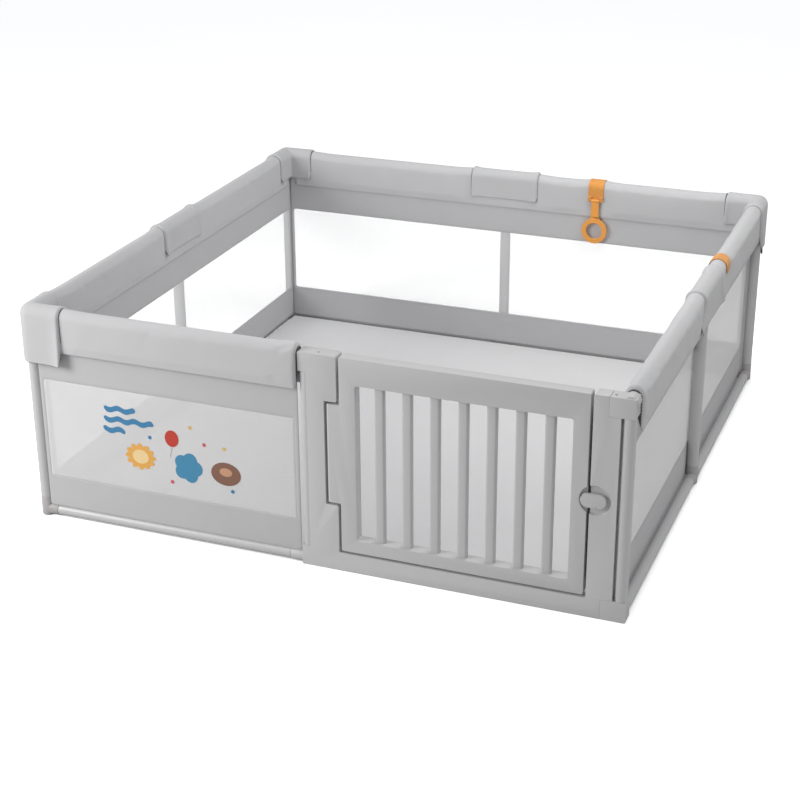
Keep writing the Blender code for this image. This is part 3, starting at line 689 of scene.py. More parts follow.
PAD_SKIRT = 0.0045
PAD_CROWN_GAP = 0.0135
PAD_SHRINK = 0.00088
PAD_WAVES = ((0.11, 0.0016), (0.03, 0.0005))
PAD_PRESSED = 0.2
HEM_STIFF = 0.03
PUFF_PRESSURE = 4.0
PUFF_FRAMES = 20
PUFF_CAP = 0.0035
PRESSED_REACH = 0.06
# How far down the painted shade reaches on a sleeve under the flaps and caps, on its inner and on its outer side.
SHADE_BOTTOM_INNER = 0.600
SHADE_BOTTOM_OUTER = 0.572
STRAP_WIDEST = 0.06

OVER_PADS = {
    "front": ("corner_cap_front_left",),
    "left": ("corner_cap_front_left", "joint_cover_left", "corner_cap_back_left"),
    "back": ("corner_cap_back_left", "joint_cover_back", "pull_strap_back",
             "corner_cap_back_right"),
    "right": ("joint_cover_right", "pull_strap_right", "corner_cap_back_right"),
}


def on_side(side, along, out, z):
    """A point beside the middle line of a rail: out is measured outward from that line."""
    axis, outward = SIDES[side]
    return axis * along + outward * (RAIL_LINE + out) + Z_AXIS * z


def span_of(node_name, side):
    """Where a node starts and ends along its side."""
    axis = SIDES[side][0]
    low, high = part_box(node_name)
    return low.dot(axis), high.dot(axis)


def half_width(node_name):
    low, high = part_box(node_name)
    return min(high.x - low.x, high.y - low.y) / 2


def over_rail(half, top, outer_hem, inner_hem):
    """The line of a cloth over a rail, from its outer hem up and over to its inner hem."""
    crown = top - half
    arc = [math.pi * k / ARCH_STEPS for k in range(1, ARCH_STEPS)]
    outside = [(half, z) for z in stations(outer_hem, crown)]
    inside = [(-half, z) for z in stations(crown, inner_hem)]
    return outside + [(half * math.cos(a), crown + half * math.sin(a)) for a in arc] + inside


def cloth_section(half, top, outer_hem, inner_hem, thickness):
    """The ring of (out, z) points round a cloth over a rail: its outer line, then its inner."""
    outer = over_rail(half, top, outer_hem, inner_hem)
    inner = over_rail(half - thickness, top - thickness, outer_hem, inner_hem)
    return outer + inner[::-1]


def ripple(point, *waves):
    """Smooth waves of given sizes and depths that depend only on the place."""
    return sum(depth * noise.noise(point / size) for size, depth in waves)


def covered_spans(side):
    """The stretches of a sleeve that lie under a flap, a corner cap or a strap."""
    start, end = span_of("rail_pad_" + side, side)
    spans = [span_of(node_name, side) for node_name in OVER_PADS[side]]
    return sorted((max(start, low), min(end, high)) for low, high in spans)


def room(spans, along):
    """How freely the padding swells: held down under whatever lies over it, free between."""
    gap = min(max(low - along, along - high, 0.0) for low, high in spans)
    return min(1.0, gap / PRESSED_REACH)


def pad_skin(side):
    """A padded sleeve's mesh, and the points that its seams hold."""
    node_name = "rail_pad_" + side
    start, end = span_of(node_name, side)
    low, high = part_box(node_name)
    half = half_width(node_name) - PAD_SHRINK
    top, hem = high.z - PAD_SHRINK, low.z
    outer = over_rail(half, top, hem, hem)
    inner = over_rail(half - PAD_SKIRT, top - PAD_CROWN_GAP, hem, hem)
    spans = covered_spans(side)
    marks = sorted({place for span in spans for place in span} - {start, end})
    rings = []
    for along in lines(start, *marks, end):
        free = PAD_PRESSED + (1 - PAD_PRESSED) * room(spans, along)
        ring = []
        for out, z in outer:
            give = min(1.0, (z - hem) / HEM_STIFF) * free
            push = ripple(on_side(side, along, out, z), *PAD_WAVES) * give
            ring.append(on_side(side, along, out * (1 + push / half), z + push * (out == 0)))
        rings.append(ring + [on_side(side, along, out, z) for out, z in reversed(inner)])
    pad = loft(node_name + "_sleeve", rings)
    size, skin = len(rings[0]), len(outer)
    pins = [
        row * size + k for row in range(len(rings)) for k in range(size)
        if k >= skin or k in (0, 1, skin - 2, skin - 1) or row in (0, len(rings) - 1)
    ]
    return pad, pins


def add_cloth(piece, pins):
    """A cloth simulation under pressure that holds the pinned points."""
    piece.vertex_groups.new(name="pins").add(pins, 1.0, "REPLACE")
    cloth = piece.modifiers.new("cloth", "CLOTH")
    cloth.point_cache.frame_start = 1
    cloth.point_cache.frame_end = PUFF_FRAMES
    settings = cloth.settings
    settings.quality = 5
    settings.mass = 0.3
    settings.tension_stiffness = 12.0
    settings.compression_stiffness = 12.0
    settings.bending_stiffness = 0.4
    settings.shrink_min = -0.012
    settings.use_pressure = True
    settings.uniform_pressure_force = PUFF_PRESSURE
    settings.vertex_group_mass = "pins"
    settings.effector_weights.gravity = 0.0


def keep_swelling(piece, side):
    """Keep what the simulation has done to a sleeve, up to the most that a point may move."""
    axis, spans = SIDES[side][0], covered_spans(side)
    swollen = evaluated_mesh(piece)
    piece.modifiers.clear()
    piece.vertex_groups.clear()
    for point, target in zip(piece.data.vertices, swollen.vertices):
        shift = target.co - point.co
        cap = PUFF_CAP * room(spans, point.co.dot(axis))
        if shift.length > cap:
            shift.length = cap
        point.co += shift
    bpy.data.meshes.remove(swollen)


def puff(pads):
    """Swell the padded sleeves by simulation, all in one run."""
    scene = bpy.context.scene
    for pad, pins in pads.values():
        add_cloth(pad, pins)
    for number in range(1, PUFF_FRAMES + 1):
        scene.frame_set(number)
    for side, (pad, _) in pads.items():
        keep_swelling(pad, side)
    scene.frame_set(1)


def paint_pad_shade(pad, side):
    """Painted shade: near-black cloth on the sleeve under the flaps and caps, and on the sleeve's two ends."""
    axis, outward = SIDES[side]
    spans = [span for span in covered_spans(side) if span[1] - span[0] > STRAP_WIDEST]
    ends = len(pad.data.polygons) - 2

    def in_shade(index, centre):
        if index >= ends:
            return True
        inner = centre.dot(outward) < RAIL_LINE
        if centre.z < (SHADE_BOTTOM_INNER if inner else SHADE_BOTTOM_OUTER):
            return False
        return any(low < centre.dot(axis) < high for low, high in spans)

    paint_shade(pad, in_shade)


def make_pads():
    pads = {side: pad_skin(side) for side in SIDES}
    puff(pads)
    for side, (pad, _) in pads.items():
        soften(pad)
        finish(pad, "pen", PADDING, ["rail_pad_" + side])
        paint_pad_shade(pad, side)


# Flaps and corner caps ---------------------------------------------------------

COVER_THICKNESS = 0.0014
COVER_FLARE = 0.013
COVER_FLARE_BEND = 8
COVER_TOP_SHARE = 0.55
COVER_DROP = 0.09
COVER_SPREAD = 0.045
COVER_SPREAD_BEND = 1.6
COVER_HEM_STEP = 0.025
COVER_WAVE = (0.05, 0.0008)
CAP_THICKNESS = 0.0030
CAP_CORNER = 0.006
CAP_FLARE = 0.017
CAP_FLARE_BEND = 6
CAP_TOP_SHARE = 0.4
CAP_HEM_STEP = 0.069
CAP_WAVE = (0.045, 0.0013)
CAP_LEAST_LIFT = -0.0005


def finish_cover(cover, node_name, section):
    """Oxford cloth outside; the inner half of its section is near-black, painted shade under the cloth."""
    finish(cover, "pen", OXFORD, [node_name])
    count = len(section)
    paint_shade(cover, lambda index, centre: index % count >= count // 2)


def make_cover(side):
    """A cloth flap over the joint of a rail: its outer side spreads wider towards the hem."""
    node_name = "joint_cover_" + side
    start, end = span_of(node_name, side)
    centre, half_length = (start + end) / 2, (end - start) / 2
    low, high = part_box(node_name)
    half = half_width(node_name)
    crown = high.z - half
    outer_hem, inner_hem = low.z, low.z + COVER_HEM_STEP
    section = cloth_section(half, high.z, outer_hem, inner_hem, COVER_THICKNESS)
    rings = []
    for t in stations(-1.0, 1.0, CLOTH_STEP / half_length):
        flare = COVER_FLARE * abs(t) ** COVER_FLARE_BEND
        ring = []
        for out, z in section:
            drop = max(0.0, (crown - z) / (crown - outer_hem)) if out > 0 else 0.0
            along = centre + t * (half_length + COVER_SPREAD * drop ** COVER_SPREAD_BEND)
            low_share = (1 - COVER_TOP_SHARE) * max(0.0, (crown - z) / COVER_DROP)
            lift = flare * (COVER_TOP_SHARE + low_share)
            lift = max(0.0, lift + ripple(on_side(side, along, out, z), COVER_WAVE))
            rise = lift * max(0.0, (z - crown) / half)
            ring.append(on_side(side, along, out * (1 + lift / half), z + rise))
        rings.append(ring)
    cover = soften(loft(node_name + "_cloth", rings))
    finish_cover(cover, node_name, section)


def cap_path(d, free_end):
    """The cap's line at a distance d outward of the rails: one leg, the corner, the other leg.

    Each point has its share of the way to its leg's free edge, and the way that it lifts.
    """
    turn_at = min(d, 0.0) - CAP_CORNER
    radius = max(d, 0.0) + CAP_CORNER
    leg = [
        (free_end + (turn_at - free_end) * t, d, 1 - t)
        for t in stations(0.0, 1.0, CLOTH_STEP / -free_end)
    ]
    angles = [math.pi / 2 * (1 - k / 8) for k in range(1, 8)]
    corner = [
        (turn_at + radius * math.cos(a), turn_at + radius * math.sin(a), 0.0) for a in angles
    ]
    first = [(x, y, share, Y_AXIS) for x, y, share in leg]
    second = [(y, x, share, X_AXIS) for x, y, share in reversed(leg)]
    path = first + [(*point, X_AXIS) for point in corner] + second
    return [
        (x, y, share, way if share else Vector((x, y, 0.0)).normalized())
        for x, y, share, way in path
    ]


def make_cap(place, x_side, y_side):
    """A soft L-shaped cap over the corner, round over the post, its free edges standing off."""
    node_name = "corner_cap_" + place
    low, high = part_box(node_name)
    outer_hem, inner_hem = low.z, low.z + CAP_HEM_STEP
    half = max(abs(high.x), abs(low.x)) - RAIL_LINE
    free_end = min(abs(low.x), abs(high.x)) - RAIL_LINE
    crown = high.z - half
    section = cloth_section(half, high.z, outer_hem, inner_hem, CAP_THICKNESS)
    corner = Vector((x_side * RAIL_LINE, y_side * RAIL_LINE, 0.0))
    paths = []
    for d, z in section:
        drop = min(1.0, max(0.0, (crown - z) / (crown - outer_hem)))
        path = []
        for x, y, share, way in cap_path(d, free_end):
            edge = share ** CAP_FLARE_BEND
            here = corner + Vector((x_side * x, y_side * y, z))
            lift = CAP_FLARE * edge * (CAP_TOP_SHARE + (1 - CAP_TOP_SHARE) * drop)
            lift += ripple(here, CAP_WAVE) * (1 - 0.5 * edge) * (0.3 + 0.7 * drop)
            lift = math.copysign(max(lift, CAP_LEAST_LIFT), d)
            x, y = x + way.x * lift, y + way.y * lift
            path.append(corner + Vector((x_side * x, y_side * y, z)))
        paths.append(path)
    cap = soften(loft(node_name + "_cloth", list(zip(*paths))))
    finish_cover(cap, node_name, section)


def make_soft_covers():
    for side in ("left", "back", "right"):
        make_cover(side)
    make_cap("front_left", -1, -1)
    make_cap("back_left", -1, 1)
    make_cap("back_right", 1, 1)


# Walls and mat -----------------------------------------------------------------

BAND_THICKNESS = 0.0022
WINDOW_LOW = 0.137
WINDOW_HIGH = 0.446
WALL_SIDE_HEM = 0.014
NET_THICKNESS = 0.0005
NET_OVERLAP = 0.005
WALL_WAVES = ((0.23, 0.0016), (0.07, 0.00048))
SWAY_FROM = 0.03
SWAY_RISE = 0.08

# How far the hems at a wall's first and last end reach out to the posts, and on which sides.
HEM_REACHES = ((0.0085, ("left",)), (0.0085, ("left", "right")))

MAT_STEP = 2
MAT_EDGE = 0.006
MAT_CORNER = 0.012
MAT_CROWN = 0.001
MAT_WAVES = ((0.17, 0.0018), (0.05, 0.0006))
MAT_FIRM = (0.01, 0.05)
PIPE_RADIUS = 0.0028
PIPE_SUNK = 0.8
PIPE_PROUD = 0.002


def wall_point(side, along, z, mid_out):
    """A point of a wall's middle surface: the cloth gives a little between its hems."""
    free = min(1.0, max(0.0, (z - SWAY_FROM) / SWAY_RISE))
    sway = ripple(on_side(side, along, mid_out, z), *WALL_WAVES) * free
    return on_side(side, along, mid_out - abs(sway), z)


def wall_out(side):
    """How far outward of the rail line a wall's middle is."""
    low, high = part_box("wall_" + side)
    return abs((low + high).dot(SIDES[side][1]) / 2) - RAIL_LINE


def grid_sheet(name, across, up, place, keep=lambda a, b: True):
    """A sheet on a grid of two sets of lines, with only the cells that keep allows."""
    bm = bmesh.new()
    verts = {}
    for i in range(len(across) - 1):
        for j in range(len(up) - 1):
            if not keep((across[i] + across[i + 1]) / 2, (up[j] + up[j + 1]) / 2):
                continue
            corners = []
            for a, b in ((i, j), (i + 1, j), (i + 1, j + 1), (i, j + 1)):
                if (a, b) not in verts:
                    verts[a, b] = bm.verts.new(place(across[a], up[b]))
                corners.append(verts[a, b])
            bm.faces.new(corners)
    bmesh.ops.recalc_face_normals(bm, faces=bm.faces)
    return add_object(name, mesh_from(bm, name))


def make_wall(side):
    """Two cloth bands joined by side hems, which reach out to the posts, round a net window."""
    node_name = "wall_" + side
    start, end = span_of(node_name, side)
    low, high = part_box(node_name)
    mid_out = wall_out(side)
    left, right = start + WALL_SIDE_HEM, end - WALL_SIDE_HEM
    first, last = (reach if side in sides else 0.0 for reach, sides in HEM_REACHES)

    def solid(along, z):
        return not (left < along < right and WINDOW_LOW < z < WINDOW_HIGH)

    def place(along, z):
        beyond = max(0.0, start - along, along - end)
        return wall_point(side, along, z, mid_out) + SIDES[side][1] * beyond

    across = lines(start - first, start, left, right, end, end + last)
    up = lines(low.z, WINDOW_LOW, WINDOW_HIGH, high.z)
    bands = grid_sheet(node_name + "_bands", across, up, place, solid)
    thicken(bands, BAND_THICKNESS)
    soften(bands)
    finish(bands, "pen", BAND, [node_name])
    across = lines(left - NET_OVERLAP, right + NET_OVERLAP)
    up = lines(WINDOW_LOW - NET_OVERLAP, WINDOW_HIGH + NET_OVERLAP)
    net = grid_sheet(node_name + "_net", across, up, place)
    thicken(net, NET_THICKNESS)
    finish(net, "pen", NETS[side])


def make_walls():
    for side in SIDES:
        make_wall(side)


def make_mat():
    """The floor mat: thin foam in coated cloth, its top waved in code."""
    low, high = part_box("floor_mat")
    inset, mid = PIPE_RADIUS * PIPE_SUNK, (low.z + high.z) / 2
    edges = []
    for k in (0, 1):
        edges.append(lines(low[k] + inset, high[k] - inset)[::MAT_STEP])
        edges[k][-1] = high[k] - inset
    mat = grid_sheet("floor_mat_pad", *edges, lambda x, y: Vector((x, y, mid)))
    thicken(mat, high.z - low.z - PIPE_PROUD)
    bake(modify(mat, "BEVEL", width=MAT_EDGE, segments=4, limit_method="ANGLE"))
    firm, rise = MAT_FIRM
    for point in mat.data.vertices:
        x, y, z = point.co
        inside = min(x - low.x, high.x - x, y - low.y, high.y - y)
        give = min(1.0, max(0.0, (inside - firm) / rise))
        if z > mid:
            point.co.z += give * (MAT_CROWN + ripple(point.co, *MAT_WAVES))
    soften(mat)
    finish(mat, "pen", MAT, ["floor_mat"])


def make_mat_piping():
    """The cord round the edge of the mat."""
    low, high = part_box("floor_mat")
    inset = PIPE_RADIUS * PIPE_SUNK
    corners = rectangle(low.x + inset, low.y + inset, high.x - inset, high.y - inset)
    outline = rounded(corners, MAT_CORNER, 6)
    mesh = curve_mesh([outline], "3D", (low.z + high.z) / 2, bevel_depth=PIPE_RADIUS,
                      bevel_resolution=3)
    finish(add_object("floor_mat_piping", mesh), "pen", OXFORD)


# Gate --------------------------------------------------------------------------

# The gate frame and its door, as seen from the front.
GATE_LEFT = MID_X - 0.019
GATE_SOCKET_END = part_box("gate_frame")[0].x
COLUMN_LEFT = MID_X + 0.0047
COLUMN_RIGHT = RAIL_LINE - POST_RADIUS - 0.0025
POST_HEAD = 0.594
SILL_TOP = 0.057
LEFT_EDGE = 0.076
RIGHT_EDGE = 0.789
NOTCH_X = 0.0385
NOTCH_LOW, NOTCH_HIGH = 0.2035, 0.5165
BLOCK_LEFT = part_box("top_connector_front_right")[0].x
GATE_EDGE = 0.0038
BLOCK_EDGE = 0.003
COLUMN_EDGE = 0.0032
CORNER_ROUND = 0.005
INNER_ROUND = 0.004
SMALL_ROUND = 0.003
CLEAR = 0.0003
CHANNEL_CLEAR = 0.0006
PLUG_SHIFT = 0.001
TOP_PLUG_LENGTH = 0.050
STOP_LIP = (0.775, 0.100, 0.793, 0.600)
STOP_LIP_DEPTH = (0.007, 0.001)
BORE_RADIUS = 0.0034
SCREW_X = (0.020, 0.843)

DOOR_GAP = 0.008
DOOR_DEPTH = 0.036
KNUCKLE_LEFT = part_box("gate_door")[0].x
KNUCKLE_ROUND = 0.008
WINDOW_X = (0.130, 0.738)
WINDOW_Z = (0.103, 0.573)
WINDOW_ROUND = 0.006
BAR_COUNT = 7
BAR_WIDTH = 0.029
BAR_RECESS = 0.0115
BAR_DEPTH = 0.020
BAR_ROUND = 0.007
BAR_ROOT = 0.006

DOME_RADIUS = 0.0215
DOME_Z = 0.6345
DOME_INSETS = (0.0045, 0.0007)
DISH_RADIUS = 0.0425
DISH_DEPTH = 0.009
DISH_TURN = 0.004
DISH_RIM = 0.0012
LEVER_BACK = 0.0035
LEVER_EDGE = 0.0028
HUB_RADIUS = 0.014
SHAFT_RADIUS = 0.006
DIMPLE = Vector((0.808, 0.0, 0.3335))
SLOT_LONG, SLOT_THIN = 0.0042, 0.0007
SLOT_FLOOR = 0.0013
BEYOND = 0.01

FRONT_VIEW = frame_at(Vector(), X_AXIS, Z_AXIS)


def front_plate(name, outlines, y_front, y_back, edge=GATE_EDGE, edge_steps=3):
    """An outline seen from the front, filling the depth between two Y values."""
    place = Matrix.Translation(Y_AXIS * (y_front + y_back) / 2) @ FRONT_VIEW
    return plate(name, outlines, y_back - y_front, place, edge, edge_steps)


def latch_dish():
    """The round dish of the latch, its floor turning up to the rim in a curve."""
    quarter = [math.pi / 2 * k / 5 for k in range(6)]
    inner, floor = DISH_RADIUS - DISH_TURN, DISH_DEPTH - DISH_TURN
    profile = [
        (inner + DISH_TURN * math.sin(a), floor + DISH_TURN * math.cos(a)) for a in quarter
    ]
    rim = DISH_RADIUS + DISH_RIM
    profile += [(DISH_RADIUS, 0.0015), (rim, 0.0), (rim, -BEYOND)]
    origin = Vector((LATCH.x, GATE_FRONT, LATCH.z))
    return turned("dish", profile, origin, Y_AXIS, 2 * ROUND_STEPS)


def hinge_bore():
    low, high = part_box("hinge_rod")
    start = Vector((HINGE.x, HINGE.y, low.z - CLEAR))
    return rod("bore", start, start + Z_AXIS * (high.z - low.z + 2 * CLEAR), BORE_RADIUS)


def screw_well(x):
    """A small countersunk hole in the gate's top face."""
    profile = [(0.0034, -0.016), (0.0034, -0.002), (0.0048, -0.0006), (0.0048, BEYOND)]
    return turned("well", profile, Vector((x, HINGE.y, GATE_TOP)), Z_AXIS)


def gate_outline():
    """The frame's outline, each corner with its own rounding."""
    connector, foot, head = BLOCK_LEFT - CLEAR, FOOT_TOP + CLEAR, POST_HEAD - CLEAR
    return rounded_each([
        (connector, 0.0, 0), (connector, foot, 0), (COLUMN_RIGHT, foot, 0),
        (COLUMN_RIGHT, head, 0), (connector, head, 0), (connector, GATE_TOP, 0),
        (RIGHT_EDGE, GATE_TOP, CORNER_ROUND), (RIGHT_EDGE, SILL_TOP, INNER_ROUND),
        (LEFT_EDGE, SILL_TOP, INNER_ROUND), (LEFT_EDGE, NOTCH_LOW, CORNER_ROUND),
        (NOTCH_X, NOTCH_LOW, SMALL_ROUND), (NOTCH_X, NOTCH_HIGH, SMALL_ROUND),
        (LEFT_EDGE, NOTCH_HIGH, CORNER_ROUND), (LEFT_EDGE, GATE_TOP, CORNER_ROUND),
        (GATE_LEFT, GATE_TOP, SMALL_ROUND), (GATE_LEFT, POST_HEAD, 0),
        (COLUMN_LEFT, POST_HEAD, 0), (COLUMN_LEFT, FOOT_TOP, 0), (GATE_LEFT, FOOT_TOP, 0),
        (GATE_LEFT, 0.0, 0),
    ])


def make_gate_frame():
    """Both columns and the sill in one moulding, with the sockets of the post behind it."""
    outline = gate_outline()
    gate = front_plate("gate_frame_moulding", [outline], GATE_FRONT, GATE_BACK, COLUMN_EDGE)
    post = Vector((MID_X, -RAIL_LINE, 0.0))
    foot, head = post + Z_AXIS * FOOT_TOP, post + Z_AXIS * POST_HEAD
    root, reach = Z_AXIS * PLUG_ROOT, Z_AXIS * PLUG_REACH
    combine(gate, [
        rod("channel", foot, head, POST_RADIUS + CHANNEL_CLEAR),
        latch_dish(),
        hinge_bore(),
        rod("shaft", LATCH, LATCH + Y_AXIS * 0.06, SHAFT_RADIUS + 0.0004),
        screw_well(SCREW_X[0]),
    ], "DIFFERENCE")
    socket = post + Vector((PLUG_SHIFT, 0.0, ARM_Z))
    crown = post + Vector((PLUG_SHIFT, 0.0, TOP_TUBE_Z))
    lip_front, lip_back = (GATE_BACK - depth for depth in STOP_LIP_DEPTH)
    combine(gate, [
        arm(socket, -X_AXIS, socket.x - GATE_SOCKET_END - PLUG_REACH),
        rod("top_plug", crown, crown - X_AXIS * TOP_PLUG_LENGTH, TOP_PLUG_RADIUS, FOOT_EDGE),
        rod("foot_plug", foot - root, foot + reach, PLUG_RADIUS, FOOT_EDGE),
        rod("head_plug", head + root, head - reach, PLUG_RADIUS, FOOT_EDGE),
        front_plate("stop_lip", [rectangle(*STOP_LIP)], lip_front, lip_back, 0.001, 1),
    ], "UNION")
    finish(gate, "pen", PLASTIC, ["gate_frame"], sharp=True)


def knuckle_corner(y_edge, toward):
    """Cuts one long corner of the knuckle to a round that clears the column as the door turns."""
    x, y = KNUCKLE_LEFT + KNUCKLE_ROUND, y_edge + toward * KNUCKLE_ROUND
    turn = [math.pi / 2 * k / 8 for k in range(9)]
    arc = [
        (x - KNUCKLE_ROUND * math.cos(a), y - toward * KNUCKLE_ROUND * math.sin(a)) for a in turn
    ]
    far_x, far_y = KNUCKLE_LEFT - BEYOND, y_edge - toward * BEYOND
    section = [(far_x, y), *arc, (x, far_y), (far_x, far_y)]
    return pillar("corner", section, NOTCH_LOW, NOTCH_HIGH)


def door_leaf():
    """The outline of the door with its knuckle, a gap inside the frame's."""
    left, right, bottom = LEFT_EDGE + DOOR_GAP, RIGHT_EDGE - DOOR_GAP, SILL_TOP + DOOR_GAP
    low, high = NOTCH_LOW + DOOR_GAP, NOTCH_HIGH - DOOR_GAP
    return rounded_each([
        (left, bottom, CORNER_ROUND), (right, bottom, CORNER_ROUND),
        (right, GATE_TOP, CORNER_ROUND), (left, GATE_TOP, CORNER_ROUND),
        (left, high, INNER_ROUND), (KNUCKLE_LEFT, high, SMALL_ROUND),
        (KNUCKLE_LEFT, low, SMALL_ROUND), (left, low, INNER_ROUND),
    ])


def make_door():
    """The leaf with its knuckle and window, and the bars rooted in its rails."""
    back = GATE_FRONT + DOOR_DEPTH
    (x_low, x_high), (z_low, z_high) = WINDOW_X, WINDOW_Z
    window = [(x_low, z_low), (x_low, z_high), (x_high, z_high), (x_high, z_low)]
    outlines = [door_leaf(), rounded(window, WINDOW_ROUND)]
    door = front_plate("gate_door_leaf", outlines, GATE_FRONT, back)
    cuts = [latch_dish(), hinge_bore(), knuckle_corner(GATE_FRONT, 1), knuckle_corner(back, -1)]
    combine(door, cuts, "DIFFERENCE")
    slot = (x_high - x_low - BAR_COUNT * BAR_WIDTH) / (BAR_COUNT + 1)
    front = GATE_FRONT + BAR_RECESS
    bars = []
    for index in range(BAR_COUNT):
        start = x_low + slot + index * (slot + BAR_WIDTH)
        section = rectangle(start, front, start + BAR_WIDTH, front + BAR_DEPTH)
        section = rounded(section, BAR_ROUND, 6)
        bars.append(pillar("bar", section, z_low - BAR_ROOT, z_high + BAR_ROOT))
    combine(door, [join("bars", bars)], "UNION")
    finish(door, "door", PLASTIC, ["gate_door"], sharp=True)


def make_gate_block(level, low, high, rail_z, rail_plug):
    """A block that ties the right column to the corner post and a side tube."""
    node_name = f"{level}_connector_front_right"
    post = middle("post_front_right")
    outline = rectangle(BLOCK_LEFT, low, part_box(node_name)[1].x, high)
    outline = rounded(outline, SMALL_ROUND)
    block = front_plate(node_name + "_block", [outline], GATE_FRONT, GATE_BACK, BLOCK_EDGE)
    end, way = (high, Z_AXIS) if level == "bottom" else (low, -Z_AXIS)
    base = Vector((post.x, post.y, end))
    rail = Vector((post.x, GATE_BACK, rail_z))
    root, reach = Y_AXIS * PLUG_ROOT, Y_AXIS * PLUG_REACH
    parts = [
        rod("post_plug", base - way * PLUG_ROOT, base + way * PLUG_REACH, PLUG_RADIUS, FOOT_EDGE),
        rod("rail_plug", rail - root, rail + reach, rail_plug, FOOT_EDGE),
    ]
    if level == "top":
        front, back = GATE_FRONT + DOME_INSETS[0], GATE_BACK - DOME_INSETS[1]
        ends = [Vector((post.x, y, DOME_Z)) for y in (front, back)]
        parts.append(rod("dome", *ends, DOME_RADIUS, INNER_ROUND))
    combine(block, parts, "UNION")
    if level == "top":
        combine(block, [screw_well(SCREW_X[1])], "DIFFERENCE")
    finish(block, "pen", PLASTIC, [node_name], sharp=True)


def make_gate_blocks():
    make_gate_block("bottom", 0.0, FOOT_TOP, ARM_Z, ARM_PLUG_RADIUS)
    make_gate_block("top", POST_HEAD, GATE_TOP, TOP_TUBE_Z, TOP_PLUG_RADIUS)


def make_latch_lever():
    """The turn lever on its hub and shaft."""
    low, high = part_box("latch_knob")
    half = (high.z - low.z) / 2
    outline = rectangle(low.x, LATCH.z - half, high.x, LATCH.z + half)
    outline = rounded(outline, half * 0.98, 12)
    front, back = low.y, GATE_FRONT + LEVER_BACK
    knob = front_plate("latch_lever", [outline], front, back, LEVER_EDGE, 4)
    root, hub_end, shaft_end = (
        Vector((LATCH.x, y, LATCH.z))
        for y in (back - 0.002, GATE_FRONT + DISH_DEPTH - CLEAR, high.y)
    )
    combine(knob, [
        rod("hub", root, hub_end, HUB_RADIUS), rod("shaft", root, shaft_end, SHAFT_RADIUS),
    ], "UNION")
    dimple = [DIMPLE + Y_AXIS * y for y in (front - BEYOND, front + 0.0015)]
    hole = [shaft_end + Y_AXIS * y for y in (-0.0125, BEYOND)]
    combine(knob, [rod("dimple", *dimple, 0.0022), rod("hole", *hole, 0.0025)], "DIFFERENCE")
    finish(knob, "latch", PLASTIC, ["latch_knob"], sharp=True)


def make_latch_screw():
    """The cross-slotted screw that holds the lever from behind."""
    head = [(0.0022, -0.0135), (0.0022, CLEAR), (0.0078, CLEAR), (0.008, 0.0006),
            (0.0072, 0.0018), (0.0055, 0.0026), (0.003, 0.003)]
    place = Vector((LATCH.x, GATE_BACK, LATCH.z))
    screw = turned("latch_screw_head", head, place, Y_AXIS)
    slots = []
    for wide, tall in ((SLOT_LONG, SLOT_THIN), (SLOT_THIN, SLOT_LONG)):
        outline = rectangle(LATCH.x - wide, LATCH.z - tall, LATCH.x + wide, LATCH.z + tall)
        slots.append(
            front_plate("slot", [outline], GATE_BACK + SLOT_FLOOR, GATE_BACK + BEYOND, 0.0)
        )
    combine(screw, slots, "DIFFERENCE")
    finish(screw, "latch", STEEL, ["latch_screw"], sharp=True)


# Pull-up rings -----------------------------------------------------------------

STRAP_THICKNESS = 0.0020
STRAP_HALF = 0.0293
STRAP_OUTER_HEM = 0.625
STRAP_INNER_HEM = 0.604
STRAP_ROUND = 0.009
STRAP_STEP = 0.16
LUG_GAPS = (0.0006, 0.0004)
LUG_LOW, LUG_HIGH = -0.0035, 0.0075
LUG_RISE = 0.005
LUG_DEPTH = 0.018
PIN_RADIUS = 0.0019
PIN_EXTRA = 0.004
TAB_WIDTH = 0.028
TAB_DEPTH = 0.0044
RING_OUTER = 0.045
RING_INNER = 0.029
RING_DROP = 0.110
RING_DEPTH = 0.008
RING_EDGE = 0.0036
NECK_FILLET = 0.016
NECK_EDGE = 0.0014
BARREL_RADIUS = 0.0045
BARREL_BORE = 0.0024


def strap_band(name, side, centre, half_width, top):
    """The strap folded over the rail, its lower corners rounded."""
    section = cloth_section(STRAP_HALF, top, STRAP_OUTER_HEM, STRAP_INNER_HEM, STRAP_THICKNESS)
    rings = []
    for t in stations(-1.0, 1.0, STRAP_STEP):
        ring = []
        for out, z in section:
            above = max(0.0, z - (STRAP_INNER_HEM if out < 0 else STRAP_OUTER_HEM))
            shrink = 0.0
            if above < STRAP_ROUND:
                rest = STRAP_ROUND - above
                shrink = STRAP_ROUND - math.sqrt(max(0.0, STRAP_ROUND ** 2 - rest ** 2))
            ring.append(on_side(side, centre + t * (half_width - shrink * 0.9), out, z))
        rings.append(ring)
    return loft(name, rings)


def make_strap(side, pivot):
    """A strap over the rail, with two lugs and the pin that its ring swings on."""
    axis, outward = SIDES[side]
    node_name = "pull_strap_" + side
    start, end = span_of(node_name, side)
    centre, half = (start + end) / 2, (end - start) / 2
    strap = strap_band(node_name + "_band", side, centre, half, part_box(node_name)[1].z)
    inner, outer = TAB_WIDTH / 2 + LUG_GAPS[0], half - LUG_GAPS[1]
    half_lug, mid_lug = (outer - inner) / 2, (inner + outer) / 2
    section = rounded(rectangle(-half_lug, LUG_LOW, half_lug, LUG_HIGH), 0.002, 3)
    parts = []
    for sign in (-1, 1):
        base = pivot - axis * pivot.dot(axis) + axis * (centre + sign * mid_lug)
        place = frame_at(base + Z_AXIS * LUG_RISE, axis, outward)
        parts.append(plate("lug", [section], LUG_DEPTH, place, 0.0008, 1))
    reach = axis * (TAB_WIDTH / 2 + PIN_EXTRA)
    parts.append(rod("pin", pivot - reach, pivot + reach, PIN_RADIUS, steps=24))
    combine(strap, parts, "UNION")
    finish(strap, "pen", WEBBING, [node_name], sharp=True)


